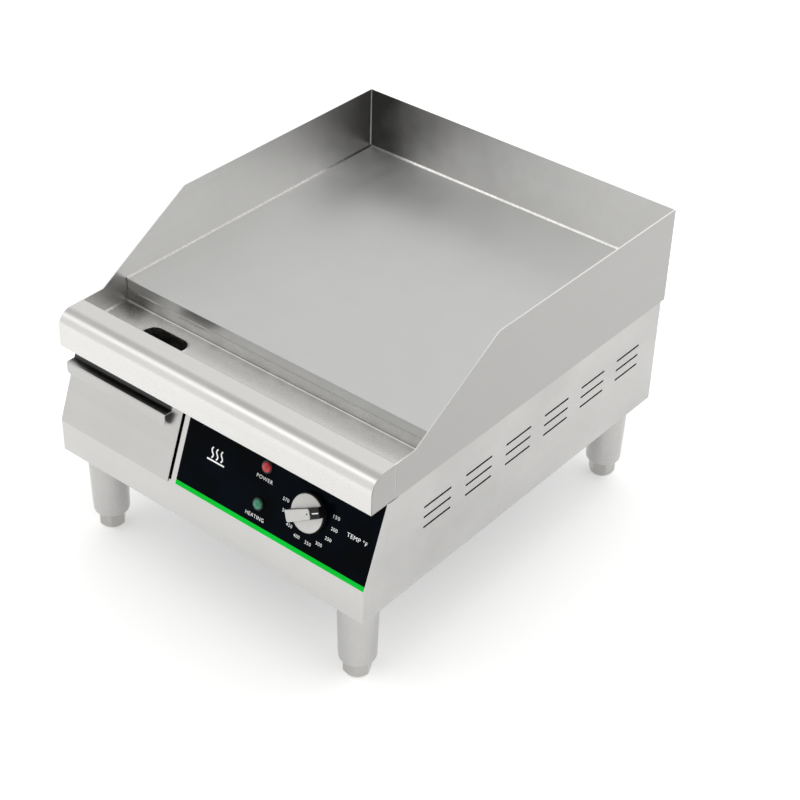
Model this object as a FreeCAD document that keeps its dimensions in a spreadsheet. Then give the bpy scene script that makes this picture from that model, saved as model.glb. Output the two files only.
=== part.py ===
import FreeCAD, Part
import Sketcher
import math
import os
import re

# Countertop electric griddle, built piece by piece in millimetres.
# Frame: +X to the cook's right, -Y towards the cook, +Z up. The origin is the centre of the
# footprint, on the surface that the feet stand on.

Vector = FreeCAD.Vector
Rotation = FreeCAD.Rotation

# ---------------------------------------------------------------------------------------------
# Driving dimensions. A depth is measured forwards from the outer face of the splash guard's back.
# ---------------------------------------------------------------------------------------------

DIMENSIONS = {
    # splash guard and nose rail
    "guard_width": 400,
    "guard_rear": 237.1,
    "guard_gauge": 1.2,
    "guard_low": 220,
    "guard_top": 327,
    "bend_depth": 294.4,
    "slope_end_depth": 412.2,
    "nose_rear_depth": 437.4,
    "nose_front_depth": 472,
    "nose_top": 258.8,
    "nose_radius": 17,
    # griddle plate and grease trough
    "plate_top": 256.6,
    "plate_thickness": 12,
    "plate_front_depth": 380.7,
    "plate_gap": 0.6,
    "bead_leg": 1.8,
    "trough_lip": 12,
    "trough_floor": 231.6,
    "drain_x": -119,
    "drain_depth": 408,
    "drain_length": 54,
    "drain_width": 24,
    "chute_bottom": 214.6,
    # case
    "body_width": 400,
    "body_gauge": 1,
    "body_rear_depth": 6.5,
    "base_height": 98.2,
    "pan_height": 12,
    "knee_depth": 480.1,
    "knee_height": 134.3,
    "front_tilt": 20.4,
    "front_return": 14,
    "front_top": 219.6,
    "corner_bend": 1.5,
    "case_flange": 9,
    "flange_rear_inset": 2,
    "flange_past_plate": 30,
    "mouth_sill": 3.4,
    # ventilation slots
    "vent_length": 40.7,
    "vent_height": 2.3,
    "vent_first_depth": 395.7,
    "vent_pitch": 62.8,
    "vent_row_pitch": 11.8,
    "vent_top_row": 183.6,
    "vent_count": 6,
    "vent_rows": 3,
    "pan_vent_columns": 4,
    "pan_vent_rows": 12,
    # legs and feet
    "leg_x": 169,
    "leg_front_depth": 449.5,
    "leg_rear_depth": 35,
    "leg_radius": 20.3,
    "leg_low_radius": 18.8,
    "leg_taper_height": 20,
    "leg_end_round": 6,
    "leg_bottom": 17.3,
    "foot_radius": 14.5,
    "foot_flat_radius": 10.8,
    "spindle_radius": 5,
    "spindle_length": 42,
    "foot_clearance": 0.3,
    "bolt_radius": 4,
    "bolt_length": 24,
    "bolt_head_radius": 7.5,
    "bolt_head_height": 5.3,
    "screw_radius": 2,
    "screw_length": 5,
    "screw_head_radius": 3.8,
    "screw_head_height": 2,
    "screw_inset": 8,
    "screw_lift": 2,
    "screw_hole_gap": 0.1,
    "bore_fit": 0.05,
    "bolt_hole_gap": 0.2,
    # grease drawer
    "drawer_left": -198.6,
    "drawer_right": -48,
    "opening_right": -45,
    "drawer_low": 0.2,
    "drawer_high": 88.9,
    "face_gap": 0.35,
    "face_flange_z": 138.3,
    "face_leg": 24,
    "handle_left": -198.4,
    "handle_right": -61.5,
    "handle_z": 199.8,
    "handle_depth": 467.4,
    "handle_lip": 13.5,
    "tray_left": -191,
    "tray_right": -55,
    "tray_bottom": 138.6,
    "tray_top": 201.6,
    "tray_front_depth": 452,
    "tray_rear_depth": 225,
    "runner_gap": 0.4,
    "runner_width": 20,
    "runner_height": 22,
    "bay_wall_x": -44,
    "bay_inset": 3,
    # controls, measured on the sloped panel: up the slope from the knee, and out along its normal
    "film_left": -38.6,
    "film_right": 199.2,
    "film_high": 90,
    "film_gauge": 0.3,
    "stripe_low": 2.2,
    "stripe_high": 7.2,
    "lamp_x": 63.4,
    "red_lamp_up": 66.2,
    "green_lamp_up": 28,
    "lens_radius": 5.2,
    "lens_dome": 2.2,
    "bezel_radius": 6.3,
    "bezel_height": 1.4,
    "barrel_length": 24,
    "lamp_fit": 0.2,
    "knob_x": 122.5,
    "knob_up": 47,
    "knob_rest_angle": 29,
    "skirt_radius": 19.6,
    "skirt_height": 5,
    "knob_face_radius": 18.6,
    "knob_gap": 0.5,
    "knob_stem": 23.5,
    "bright_gauge": 0.8,
    "grip_length": 40,
    "grip_width": 12,
    "grip_height": 7,
    "grip_cap_end": 9,
    "shaft_radius": 3,
    "shaft_hole_gap": 2,
    "shaft_in_bar": 3,
    "shaft_in_thermostat": 10,
    "thermostat_length": 46,
    "thermostat_width": 34,
    "thermostat_height": 22,
    "bush_radius": 8,
    "bush_length": 6,
    "thermostat_screw_radius": 1.9,
    "thermostat_screw_offset": 14,
    # heating
    "element_radius": 4,
    "element_pitch": 56,
    "element_runs": 6,
    "element_rear_depth": 40,
    "element_run": 290,
    "element_end": 22,
    "pin_radius": 1.6,
    "pin_length": 9,
    "clamp_first_depth": 80,
    "clamp_pitch": 105,
    "clamp_rows": 3,
    "clamp_half": 158,
    "clamp_width": 18,
    "clamp_gauge": 2.5,
    "stud_radius": 3,
    "stud_clearance": 0.4,
    "stud_gap": 1.2,
    "stud_nut_radius": 5.7,
    "stud_nut_height": 5,
    "bulb_radius": 3,
    "bulb_length": 90,
    "limit_radius": 8,
    "limit_height": 9,
    "blanket_top": 226.6,
    "blanket_bottom": 206.6,
    "blanket_half": 182,
    "blanket_rear_depth": 14,
    "blanket_front_depth": 366,
    "shield_gauge": 0.8,
    # supply and wiring
    "supply_wire_z": 111.6,
    "plate_wire_z": 179.6,
    "wire_radius": 1.2,
    "wire_bend": 5,
    "wire_spread": 6,
    "wire_lane": 4.8,
    "wire_crossing_rise": 40,
    "wire_past_plate": 22,
    "wire_straight": 18,
    "supply_wire_half": 8,
    "lamp_wire_lane": 38,
    "lamp_wire_turn": 13,
    "lamp_wire_half": 9,
    "earth_wire_turn": 14,
    "capillary_lane": 2.2,
    "capillary_crossing_rise": 18,
    "capillary_radius": 0.8,
    "sheet_gap": 0.05,
    "gland_x": 120,
    "gland_z": 135.6,
    "gland_radius": 9,
    "gland_bore_radius": 5,
    "gland_length": 24,
    "gland_flange_rim": 3,
    "gland_flange_height": 4,
    "gland_nut_rim": 5,
    "terminal_half": 24,
    "terminal_rear_depth": 44,
    "terminal_front_depth": 62,
    "terminal_height": 20,
    "earth_stud_offset": 50,
    "earth_stud_depth": 60,
    "earth_stud_radius": 2.5,
    "earth_stud_height": 14,
    "baffle_hole_radius": 15,
    "baffle_depth": 374.7,
}

doc = FreeCAD.newDocument("electric_griddle")
sheet = doc.addObject("Spreadsheet::Sheet", "Dimensions")
for row, (alias, value) in enumerate(DIMENSIONS.items(), start=1):
    sheet.set(f"A{row}", alias)
    sheet.set(f"B{row}", str(value))
    sheet.setAlias(f"B{row}", alias)
doc.recompute()

NODES = []


# ---------------------------------------------------------------------------------------------
# Helpers: every size is an expression of the sheet's aliases
# ---------------------------------------------------------------------------------------------

def size(expression):
    """The present value of an expression of the sheet's aliases."""
    return float(sheet.evalExpression(str(expression)))


def bind(item, prop, expression):
    """Drive a property from the sheet."""
    def full_name(word):
        name = word.group()
        return f"Dimensions.{name}" if name in DIMENSIONS else name
    item.setExpression(prop, re.sub(r"[a-z_]+", full_name, str(expression)))


def deep(depth):
    """The Y of a depth measured forwards from the guard's rear face."""
    return f"(guard_rear - ({depth}))"


def panel_y(up, out=0):
    """The Y of a place on the sloped panel."""
    return f"(guard_rear - knee_depth + ({up}) * sin(front_tilt) - ({out}) * cos(front_tilt))"


def panel_z(up, out=0):
    """The Z of a place on the sloped panel."""
    return f"(knee_height + ({up}) * cos(front_tilt) + ({out}) * sin(front_tilt))"


def place(item, x, y, z):
    """Put an item's own origin at a place given by expressions."""
    bind(item, ".Placement.Base.x", x)
    bind(item, ".Placement.Base.y", y)
    bind(item, ".Placement.Base.z", z)
    return item


def place_on_panel(item, x, up, out=0):
    """Stand an item on the sloped panel: its own Y runs up the slope and its Z out of it."""
    item.Placement = FreeCAD.Placement(Vector(), Rotation(Vector(1, 0, 0), 90 - size("front_tilt")))
    bind(item, ".Placement.Rotation.Angle", "90 - front_tilt")
    return place(item, x, panel_y(up, out), panel_z(up, out))


def turned(item, axis, angle):
    """Set an item's own rotation."""
    item.Placement = FreeCAD.Placement(item.Placement.Base, Rotation(Vector(*axis), angle))
    return item


def keep(item, label):
    """Make an item a sub-part of the griddle."""
    item.Label = label
    NODES.append(item)
    return item


def block(name, low, high):
    """A box between two corners."""
    item = doc.addObject("Part::Box", name)
    for side, start, end in zip(("Length", "Width", "Height"), low, high):
        bind(item, side, f"({end}) - ({start})")
    return place(item, *low)


ALONG = {"Y": ((1, 0, 0), -90), "-Y": ((1, 0, 0), 90), "Z": ((0, 0, 1), 0)}


def rod(name, radius, length, start, along="Z"):
    """A cylinder from a start point along one axis."""
    item = doc.addObject("Part::Cylinder", name)
    bind(item, "Radius", radius)
    bind(item, "Height", length)
    turned(item, *ALONG[along])
    return place(item, *start)


def panel_rod(name, radius, length, x, up, out):
    """A cylinder square to the sloped panel."""
    item = doc.addObject("Part::Cylinder", name)
    bind(item, "Radius", radius)
    bind(item, "Height", length)
    return place_on_panel(item, x, up, out)


def cut(name, base, tools):
    """A piece with other shapes taken out of it."""
    item = doc.addObject("Part::Cut", name)
    item.Base = base
    item.Tool = tools[0] if len(tools) == 1 else gather(f"{name}_tools", tools)
    return item


def fuse(name, members):
    """Shapes joined into one solid."""
    item = doc.addObject("Part::MultiFuse", name)
    item.Shapes = members
    item.Refine = True
    return item


def gather(name, members):
    """Separate solids kept together, such as a set of equal fasteners."""
    item = doc.addObject("Part::Compound", name)
    item.Links = members
    return item


def new_body(name):
    return doc.addObject("PartDesign::Body", name)


def new_sketch(body, plane, name):
    """A sketch on one of the body's own origin planes."""
    support = [feature for feature in body.Origin.OriginFeatures if feature.Role == f"{plane}_Plane"][0]
    drawing = body.newObject("Sketcher::SketchObject", name)
    drawing.AttachmentSupport = [(support, "")]
    drawing.MapMode = "FlatFace"
    return drawing


def fix_point(drawing, geometry, end, across, upward):
    """Hold one point of a sketch at two driven distances from the sketch's origin."""
    for kind, expression in (("DistanceX", across), ("DistanceY", upward)):
        index = drawing.addConstraint(
            Sketcher.Constraint(kind, -1, 1, geometry, end, size(expression)))
        bind(drawing, f"Constraints[{index}]", expression)


def outline(body, plane, name, points):
    """A closed outline of straight edges through the given points."""
    drawing = new_sketch(body, plane, name)
    corners = [Vector(size(across), size(upward), 0) for across, upward in points]
    for index, corner in enumerate(corners):
        drawing.addGeometry(Part.LineSegment(corner, corners[(index + 1) % len(corners)]), False)
    for index in range(len(corners)):
        drawing.addConstraint(
            Sketcher.Constraint("Coincident", index, 2, (index + 1) % len(corners), 1))
    for index, (across, upward) in enumerate(points):
        fix_point(drawing, index, 1, across, upward)
    return drawing


def oval(body, plane, name, across, upward, length, width):
    """A slot with round ends, its length along the sketch's first axis."""
    drawing = new_sketch(body, plane, name)
    radius = size(width) / 2
    reach = size(length) / 2 - radius
    middle = Vector(size(across), size(upward), 0)
    left = middle - Vector(reach, 0, 0)
    right = middle + Vector(reach, 0, 0)
    lift = Vector(0, radius, 0)
    normal = Vector(0, 0, 1)
    drawing.addGeometry(Part.LineSegment(left - lift, right - lift), False)
    quarter = math.pi / 2
    drawing.addGeometry(Part.ArcOfCircle(Part.Circle(right, normal, radius), -quarter, quarter), False)
    drawing.addGeometry(Part.LineSegment(right + lift, left + lift), False)
    drawing.addGeometry(Part.ArcOfCircle(Part.Circle(left, normal, radius), quarter, 3 * quarter), False)
    for first, second, end in ((0, 1, 1), (1, 2, 1), (2, 3, 1), (3, 0, 1)):
        drawing.addConstraint(Sketcher.Constraint("Tangent", first, 2, second, end))
    fix_point(drawing, 1, 3, f"({across}) + (({length}) - ({width})) / 2", upward)
    fix_point(drawing, 3, 3, f"({across}) - (({length}) - ({width})) / 2", upward)
    index = drawing.addConstraint(Sketcher.Constraint("Radius", 1, radius))
    bind(drawing, f"Constraints[{index}]", f"({width}) / 2")
    return drawing


def pad(body, drawing, length, both_ways=False):
    """Thicken a sketch, along its normal or equally to both sides."""
    feature = body.newObject("PartDesign::Pad", f"{drawing.Name}_pad")
    feature.Profile = drawing
    bind(feature, "Length", length)
    feature.Midplane = both_ways
    drawing.Visibility = False
    return feature


def pocket(body, drawing, length, both_ways=True):
    """Cut a sketch's outline out of the body."""
    feature = body.newObject("PartDesign::Pocket", f"{drawing.Name}_pocket")
    feature.Profile = drawing
    bind(feature, "Length", length)
    feature.Midplane = both_ways
    return feature


def round_edges(body, name, radius, chosen):
    """Round the edges of the body's tip whose middle the test picks."""
    doc.recompute()
    base = body.Tip
    names = []
    for index, edge in enumerate(base.Shape.Edges, start=1):
        middle = edge.valueAt((edge.FirstParameter + edge.LastParameter) / 2)
        if chosen(edge, middle):
            names.append(f"Edge{index}")
    feature = body.newObject("PartDesign::Fillet", name)
    feature.Base = (base, names)
    bind(feature, "Radius", radius)
    return feature


def repeat(body, feature, name, drawing, first, second=None):
    """Repeat a feature in rows along the axes of its own sketch."""
    pattern = body.newObject("PartDesign::LinearPattern", name)
    pattern.Originals = [feature]
    axis, length, count = first
    pattern.Direction = (drawing, [axis])
    bind(pattern, "Length", length)
    bind(pattern, "Occurrences", count)
    if second:
        axis, length, count = second
        pattern.Direction2 = (drawing, [axis])
        bind(pattern, "Length2", length)
        bind(pattern, "Occurrences2", count)
        pattern.Reversed2 = True
    body.Tip = pattern
    return pattern


def near(value, expression):
    """Whether a measured value is the size that an expression gives."""
    return abs(value - size(expression)) < 0.01


def hexagon(name, radius, height, x, y, z, spin=0):
    """An upright six-sided prism, given by the radius through its corners."""
    item = doc.addObject("Part::Prism", name)
    item.Polygon = 6
    bind(item, "Circumradius", radius)
    bind(item, "Height", height)
    return place(turned(item, (0, 0, 1), spin), x, y, z)


def prism(name, plane, points, length, both_ways=False):
    """A body made of one straight-edged outline pushed out to a length."""
    body = new_body(name)
    pad(body, outline(body, plane, f"{name}_outline", points), length, both_ways)
    return body


INNER = "(guard_width / 2 - guard_gauge)"
CASE_HALF = "(body_width / 2)"
CASE_INNER = "(body_width / 2 - body_gauge)"
UNDER_PLATE = "(plate_top - plate_thickness)"
THROUGH = "(4 * guard_top)"  # a length that passes right through the griddle
BEYOND = 5  # how far a cutting shape stands past the face that it cuts


# ---------------------------------------------------------------------------------------------
# Splash guard: two side plates that also close the ends of the nose rail, and a back plate
# ---------------------------------------------------------------------------------------------

def make_guard_side(label, x, rail):
    """Side plate; its front end is the cap inside the rail's end, with the rail's edge round it."""
    body = prism(f"{label}_sheet", "YZ", [
        (deep(0), "guard_low"),
        (deep("nose_front_depth"), "guard_low"),
        (deep("nose_front_depth"), "nose_top"),
        (deep("slope_end_depth"), "nose_top"),
        (deep("bend_depth"), "guard_top"),
        (deep(0), "guard_top"),
    ], "guard_gauge")
    for name, radius, height in (("roll", "nose_radius", "nose_top"),
                                 ("low_bend", "corner_bend", "guard_low")):
        round_edges(body, f"{label}_{name}", radius,
                    lambda edge, middle: near(middle.y, deep("nose_front_depth")) and near(middle.z, height))
    place(body, x, 0, 0)
    keep(cut(label, body, [rail]), label)


def make_guard_back():
    plate = block("guard_back", (f"-{INNER}", deep("guard_gauge"), "guard_low"),
                  (INNER, deep(0), "guard_top"))
    keep(plate, "guard_back")


def make_nose_rail():
    """Rolled sheet along the front edge, with the trough's front wall at its back."""
    gauge = "guard_gauge"
    body = prism("nose_rail", "YZ", [
        (deep("nose_rear_depth"), f"trough_floor - {gauge}"),
        (deep("nose_rear_depth"), "nose_top"),
        (deep("nose_front_depth"), "nose_top"),
        (deep("nose_front_depth"), "guard_low"),
        (deep(f"nose_rear_depth + {gauge}"), "guard_low"),
        (deep(f"nose_rear_depth + {gauge}"), f"guard_low + {gauge}"),
        (deep(f"nose_front_depth - {gauge}"), f"guard_low + {gauge}"),
        (deep(f"nose_front_depth - {gauge}"), f"nose_top - {gauge}"),
        (deep(f"nose_rear_depth + {gauge}"), f"nose_top - {gauge}"),
        (deep(f"nose_rear_depth + {gauge}"), f"trough_floor - {gauge}"),
    ], "guard_width", both_ways=True)
    corners = (
        ("nose_rail_roll", "nose_radius", "nose_front_depth", "nose_top"),
        ("nose_rail_inner_roll", f"nose_radius - {gauge}", f"nose_front_depth - {gauge}",
         f"nose_top - {gauge}"),
        ("nose_rail_rear_bend", "corner_bend + 0.5", "nose_rear_depth", "nose_top"),
        ("nose_rail_low_bend", "corner_bend", "nose_front_depth", "guard_low"),
    )
    for name, radius, depth, height in corners:
        round_edges(body, name, radius,
                    lambda edge, middle: near(middle.y, deep(depth)) and near(middle.z, height))
    return keep(body, "nose_rail")


# ---------------------------------------------------------------------------------------------
# Griddle plate, its weld beads, the grease trough and the chute under the drain slot
# ---------------------------------------------------------------------------------------------

def make_griddle_plate():
    half = f"({INNER} - plate_gap)"
    body = prism("griddle_plate", "YZ", [
        (deep("guard_gauge + plate_gap"), UNDER_PLATE),
        (deep("plate_front_depth"), UNDER_PLATE),
        (deep("plate_front_depth"), "plate_top"),
        (deep("guard_gauge + plate_gap"), "plate_top"),
    ], f"2 * {half}", both_ways=True)
    round_edges(body, "griddle_plate_edge", 0.8,
                lambda edge, middle: near(middle.y, deep("plate_front_depth"))
                and near(middle.z, "plate_top"))
    keep(body, "griddle_plate")


def make_weld_beads():
    """Fillet welds: plate to guard, trough floor to guard, and the guard's two upright corners."""
    beads = []
    for side, sign in (("left", -1), ("right", 1)):
        for part, floor, start, end in (
                ("plate", "plate_top", "guard_gauge", "plate_front_depth"),
                ("trough", "trough_floor", "plate_front_depth + guard_gauge", "nose_rear_depth")):
            bead = prism(f"{part}_bead_{side}", "XZ", [
                (f"{sign} * {INNER}", floor),
                (f"{sign} * ({INNER} - bead_leg)", floor),
                (f"{sign} * {INNER}", f"{floor} + bead_leg"),
            ], f"({end}) - ({start})")
            beads.append(place(bead, 0, deep(start), 0))
        corner = prism(f"corner_bead_{side}", "XY", [
            (f"{sign} * {INNER}", deep("guard_gauge")),
            (f"{sign} * ({INNER} - bead_leg / 2)", deep("guard_gauge")),
            (f"{sign} * {INNER}", deep("guard_gauge + bead_leg / 2")),
        ], "guard_top - plate_top - bead_leg")
        beads.append(place(corner, 0, 0, "plate_top + bead_leg"))
    rear = prism("plate_bead_rear", "YZ", [
        (deep("guard_gauge"), "plate_top"),
        (deep("guard_gauge + bead_leg"), "plate_top"),
        (deep("guard_gauge"), "plate_top + bead_leg"),
    ], f"2 * ({INNER} - bead_leg)", both_ways=True)
    keep(gather("weld_beads", beads + [rear]), "weld_beads")


def make_grease_trough():
    """Folded sheet in front of the plate: a lip under the plate, a wall, and a floor with the drain slot."""
    gauge = "guard_gauge"
    body = prism("grease_trough", "YZ", [
        (deep("plate_front_depth - trough_lip"), UNDER_PLATE),
        (deep(f"plate_front_depth + {gauge}"), UNDER_PLATE),
        (deep(f"plate_front_depth + {gauge}"), "trough_floor"),
        (deep("nose_rear_depth"), "trough_floor"),
        (deep("nose_rear_depth"), f"trough_floor - {gauge}"),
        (deep("plate_front_depth"), f"trough_floor - {gauge}"),
        (deep("plate_front_depth"), f"{UNDER_PLATE} - {gauge}"),
        (deep("plate_front_depth - trough_lip"), f"{UNDER_PLATE} - {gauge}"),
    ], f"2 * {INNER}", both_ways=True)
    slot = oval(body, "XY", "drain_slot", "drain_x", deep("drain_depth"), "drain_length", "drain_width")
    pocket(body, slot, THROUGH)
    keep(body, "grease_trough")


def make_drain_chute():
    """Short oval tube welded under the drain slot, which leads the grease down into the drawer."""
    body = new_body("drain_chute")
    wall = oval(body, "XY", "chute_wall", 0, 0, "drain_length + 2 * body_gauge",
                "drain_width + 2 * body_gauge")
    pad(body, wall, "trough_floor - guard_gauge - chute_bottom")
    bore = oval(body, "XY", "chute_bore", 0, 0, "drain_length", "drain_width")
    pocket(body, bore, THROUGH)
    place(body, "drain_x", deep("drain_depth"), "chute_bottom")
    keep(body, "drain_chute")


# ---------------------------------------------------------------------------------------------
# Case: front panel with its knee, two side panels, rear panel, floor pan and inner walls
# ---------------------------------------------------------------------------------------------

def slope_depth(height, inset=0):
    """The depth of the sloped front at a height, moved inwards level by an inset."""
    return f"(knee_depth - ({inset}) - (({height}) - knee_height) * tan(front_tilt))"


def make_front_panel():
    body = prism("front_sheet", "YZ", [
        (deep("knee_depth"), "base_height"),
        (deep("knee_depth"), "knee_height"),
        (deep(slope_depth("front_top")), "front_top"),
        (deep(slope_depth("front_top", "front_return")), "front_top"),
        (deep("knee_depth - front_return"), "knee_height"),
        (deep("knee_depth - front_return"), "base_height"),
    ], "body_width", both_ways=True)
    slope = math.tan(math.radians(size("front_tilt")))

    def upright_corner(edge, middle):
        rise = max(middle.z - size("knee_height"), 0)
        return near(abs(middle.x), CASE_HALF) and near(middle.y - rise * slope, deep("knee_depth"))
    round_edges(body, "front_corners", "corner_bend", upright_corner)
    low = f"base_height - {BEYOND}"
    high = f"front_top + {BEYOND}"
    inside = outline(body, "YZ", "front_inside", [
        (deep("knee_depth - body_gauge"), low),
        (deep("knee_depth - body_gauge"), "knee_height - body_gauge * tan(front_tilt / 2)"),
        (deep(slope_depth(high, "body_gauge / cos(front_tilt)")), high),
        (deep("plate_front_depth"), high),
        (deep("plate_front_depth"), low),
    ])
    pocket(body, inside, f"2 * {CASE_INNER}")
    mouth = outline(body, "XZ", "drawer_mouth", [
        (f"-{CASE_INNER}", "knee_height + mouth_sill"),
        ("opening_right", "knee_height + mouth_sill"),
        ("opening_right", high),
        (f"-{CASE_INNER}", high),
    ])
    pocket(body, mouth, THROUGH)
    keep(cut("front_panel", body, panel_holes("front")), "front_panel")


def panel_holes(name):
    """What cuts a sheet on the sloped panel for the two lamps and the knob's shaft."""
    places = (
        ("red", "lens_radius + 2 * lamp_fit", "lamp_x", "red_lamp_up"),
        ("green", "lens_radius + 2 * lamp_fit", "lamp_x", "green_lamp_up"),
        ("shaft", "shaft_radius + shaft_hole_gap", "knob_x", "knob_up"),
    )
    return [panel_rod(f"{name}_{hole}_hole", radius, 2 * BEYOND, x, up, -BEYOND)
            for hole, radius, x, up in places]


def make_side_panel(label, sign):
    """Side sheet with an inward flange along its top, which carries the guard, and vent slots."""
    start = "(front_return + sheet_gap)"
    body = new_body(label)
    wall = outline(body, "YZ", f"{label}_wall", [
        (deep("body_rear_depth"), "base_height"),
        (deep(f"knee_depth - {start}"), "base_height"),
        (deep(f"knee_depth - {start}"), "knee_height"),
        (deep(slope_depth("guard_low", start)), "guard_low"),
        (deep("body_rear_depth"), "guard_low"),
    ])
    pad(body, wall, "body_gauge")
    flange = outline(body, "YZ", f"{label}_flange", [
        (deep("body_rear_depth + flange_rear_inset"), "guard_low - body_gauge"),
        (deep("plate_front_depth + flange_past_plate"), "guard_low - body_gauge"),
        (deep("plate_front_depth + flange_past_plate"), "guard_low"),
        (deep("body_rear_depth + flange_rear_inset"), "guard_low"),
    ])
    reach = "case_flange - body_gauge" if sign > 0 else "case_flange"
    pad(body, flange, reach).Reversed = sign > 0
    slot = oval(body, "YZ", f"{label}_vent", deep("vent_first_depth - vent_length / 2"), "vent_top_row",
                "vent_length", "vent_height")
    slot_cut = pocket(body, slot, "4 * body_gauge")
    repeat(body, slot_cut, f"{label}_vents", slot,
           ("H_Axis", "vent_pitch * (vent_count - 1)", "vent_count"),
           ("V_Axis", "vent_row_pitch * (vent_rows - 1)", "vent_rows"))
    x = f"{CASE_HALF} - body_gauge" if sign > 0 else f"-{CASE_HALF}"
    place(body, x, 0, 0)
    keep(body, label)


def make_rear_panel():
    """Removable back cover with vent slots, the cable gland's hole and six screw holes."""
    body = new_body("rear_sheet")
    wall = outline(body, "XZ", "rear_wall", [
        (f"-{CASE_INNER}", "base_height"),
        (CASE_INNER, "base_height"),
        (CASE_INNER, "guard_low"),
        (f"-{CASE_INNER}", "guard_low"),
    ])
    pad(body, wall, "body_gauge")
    slot = oval(body, "XZ", "rear_vent", "0 - vent_pitch * (vent_count - 1) / 2", "vent_top_row",
                "vent_length", "vent_height")
    slot_cut = pocket(body, slot, "4 * body_gauge")
    repeat(body, slot_cut, "rear_vents", slot,
           ("H_Axis", "vent_pitch * (vent_count - 1)", "vent_count"),
           ("V_Axis", "vent_row_pitch * (vent_rows - 1)", "vent_rows"))
    place(body, 0, deep("body_rear_depth"), 0)
    gland_hole = rod("rear_gland_hole", "gland_radius + screw_hole_gap", 4 * BEYOND,
                     ("gland_x", deep(f"body_rear_depth + {2 * BEYOND}"), "gland_z"), "Y")
    keep(cut("rear_panel", body, [gland_hole] + rear_screw_holes("rear")), "rear_panel")


def rear_screw_places():
    heights = ("base_height + pan_height / 2 + screw_lift", "guard_low - screw_inset")
    return [(f"{column} * ({CASE_INNER} - screw_inset)", height)
            for column in (-1, 0, 1) for height in heights]


def rear_screw_holes(name):
    """What cuts the rear cover, or the floor pan's turned-up edge, for the case screws."""
    return [rod(f"{name}_screw_hole_{index}", "screw_radius + screw_hole_gap", 4 * BEYOND,
                (x, deep(f"body_rear_depth + {2 * BEYOND}"), z), "Y")
            for index, (x, z) in enumerate(rear_screw_places())]


def make_case_screws():
    """Pan-head screws that hold the rear cover."""
    rear = deep("body_rear_depth")
    screws = []
    for index, (x, z) in enumerate(rear_screw_places()):
        head = rod(f"case_screw_head_{index}", "screw_head_radius", "screw_head_height", (x, rear, z), "Y")
        shank = rod(f"case_screw_shank_{index}", "screw_radius", "screw_length",
                    (x, f"{rear} - screw_length", z), "Y")
        screws.append(fuse(f"case_screw_{index}", [head, shank]))
    keep(gather("case_screws", screws), "case_screws")


def make_floor_pan():
    """Floor of the case, its edges turned up inside the panels, with vent slots and leg bolt holes."""
    body = new_body("floor_sheet")
    rear = deep("body_rear_depth + body_gauge")
    front = deep("knee_depth - body_gauge")
    pan = outline(body, "XY", "pan_outside", [
        (f"-{CASE_INNER}", front), (CASE_INNER, front), (CASE_INNER, rear), (f"-{CASE_INNER}", rear)])
    pad(body, pan, "pan_height")
    slot = oval(body, "XY", "pan_vent", "0 - vent_pitch * (pan_vent_columns - 1) / 2",
                deep("knee_depth / 2 + vent_pitch"), "vent_length", "2 * vent_height")
    slot_cut = pocket(body, slot, "4 * pan_height")
    repeat(body, slot_cut, "pan_vents", slot,
           ("H_Axis", "vent_pitch * (pan_vent_columns - 1)", "pan_vent_columns"),
           ("V_Axis", "vent_row_pitch * (pan_vent_rows - 1)", "pan_vent_rows"))
    place(body, 0, 0, "base_height")
    edge = f"({CASE_INNER} - body_gauge)"
    hollow = block("pan_hollow", (f"-{edge}", f"{front} + body_gauge", "base_height + body_gauge"),
                   (edge, f"{rear} - body_gauge", f"base_height + pan_height + {BEYOND}"))
    holes = [rod(f"pan_bolt_hole_{name}", "bolt_radius + bolt_hole_gap", 4 * BEYOND,
                 (x, y, f"base_height - {2 * BEYOND}"))
             for name, x, y in leg_places()]
    keep(cut("floor_pan", body, [hollow] + holes + rear_screw_holes("pan")), "floor_pan")


BAY_FRONT = deep("tray_front_depth - bay_inset")
BAY_REAR = deep("tray_rear_depth - bay_inset")


def make_bay_wall():
    """Upright sheet that parts the drawer's bay from the wiring."""
    low = "base_height + body_gauge"
    wall = block("bay_wall", ("bay_wall_x", BAY_FRONT, low),
                 ("bay_wall_x + body_gauge", BAY_REAR, "blanket_bottom - shield_gauge"))
    keep(wall, "bay_wall")


def make_control_baffle():
    """Upright sheet that keeps the plate's heat off the thermostat, with two holes for the wires."""
    wall = block("baffle_sheet",
                 ("bay_wall_x + body_gauge", deep("baffle_depth"), "base_height + body_gauge"),
                 (f"{CASE_INNER} - case_flange", deep("baffle_depth - body_gauge"),
                  f"{UNDER_PLATE} - guard_gauge"))
    holes = [rod(f"baffle_hole_{name}", "baffle_hole_radius", 2 * BEYOND,
                 (x, deep(f"baffle_depth + {BEYOND}"), z), "Y")
             for name, x, z in (("supply", "gland_x", "supply_wire_z"),
                                ("plate", "knob_x + 13", "plate_wire_z"))]
    keep(cut("control_baffle", wall, holes), "control_baffle")


# ---------------------------------------------------------------------------------------------
# Legs and their screwed feet
# ---------------------------------------------------------------------------------------------

FOOT_TURNS = {"front_left": 13, "front_right": 56, "rear_left": 30, "rear_right": 20}


def leg_places():
    return [(f"{row}_{side}", f"{sign} * leg_x", deep(f"leg_{row}_depth"))
            for row in ("front", "rear") for side, sign in (("left", -1), ("right", 1))]


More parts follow.
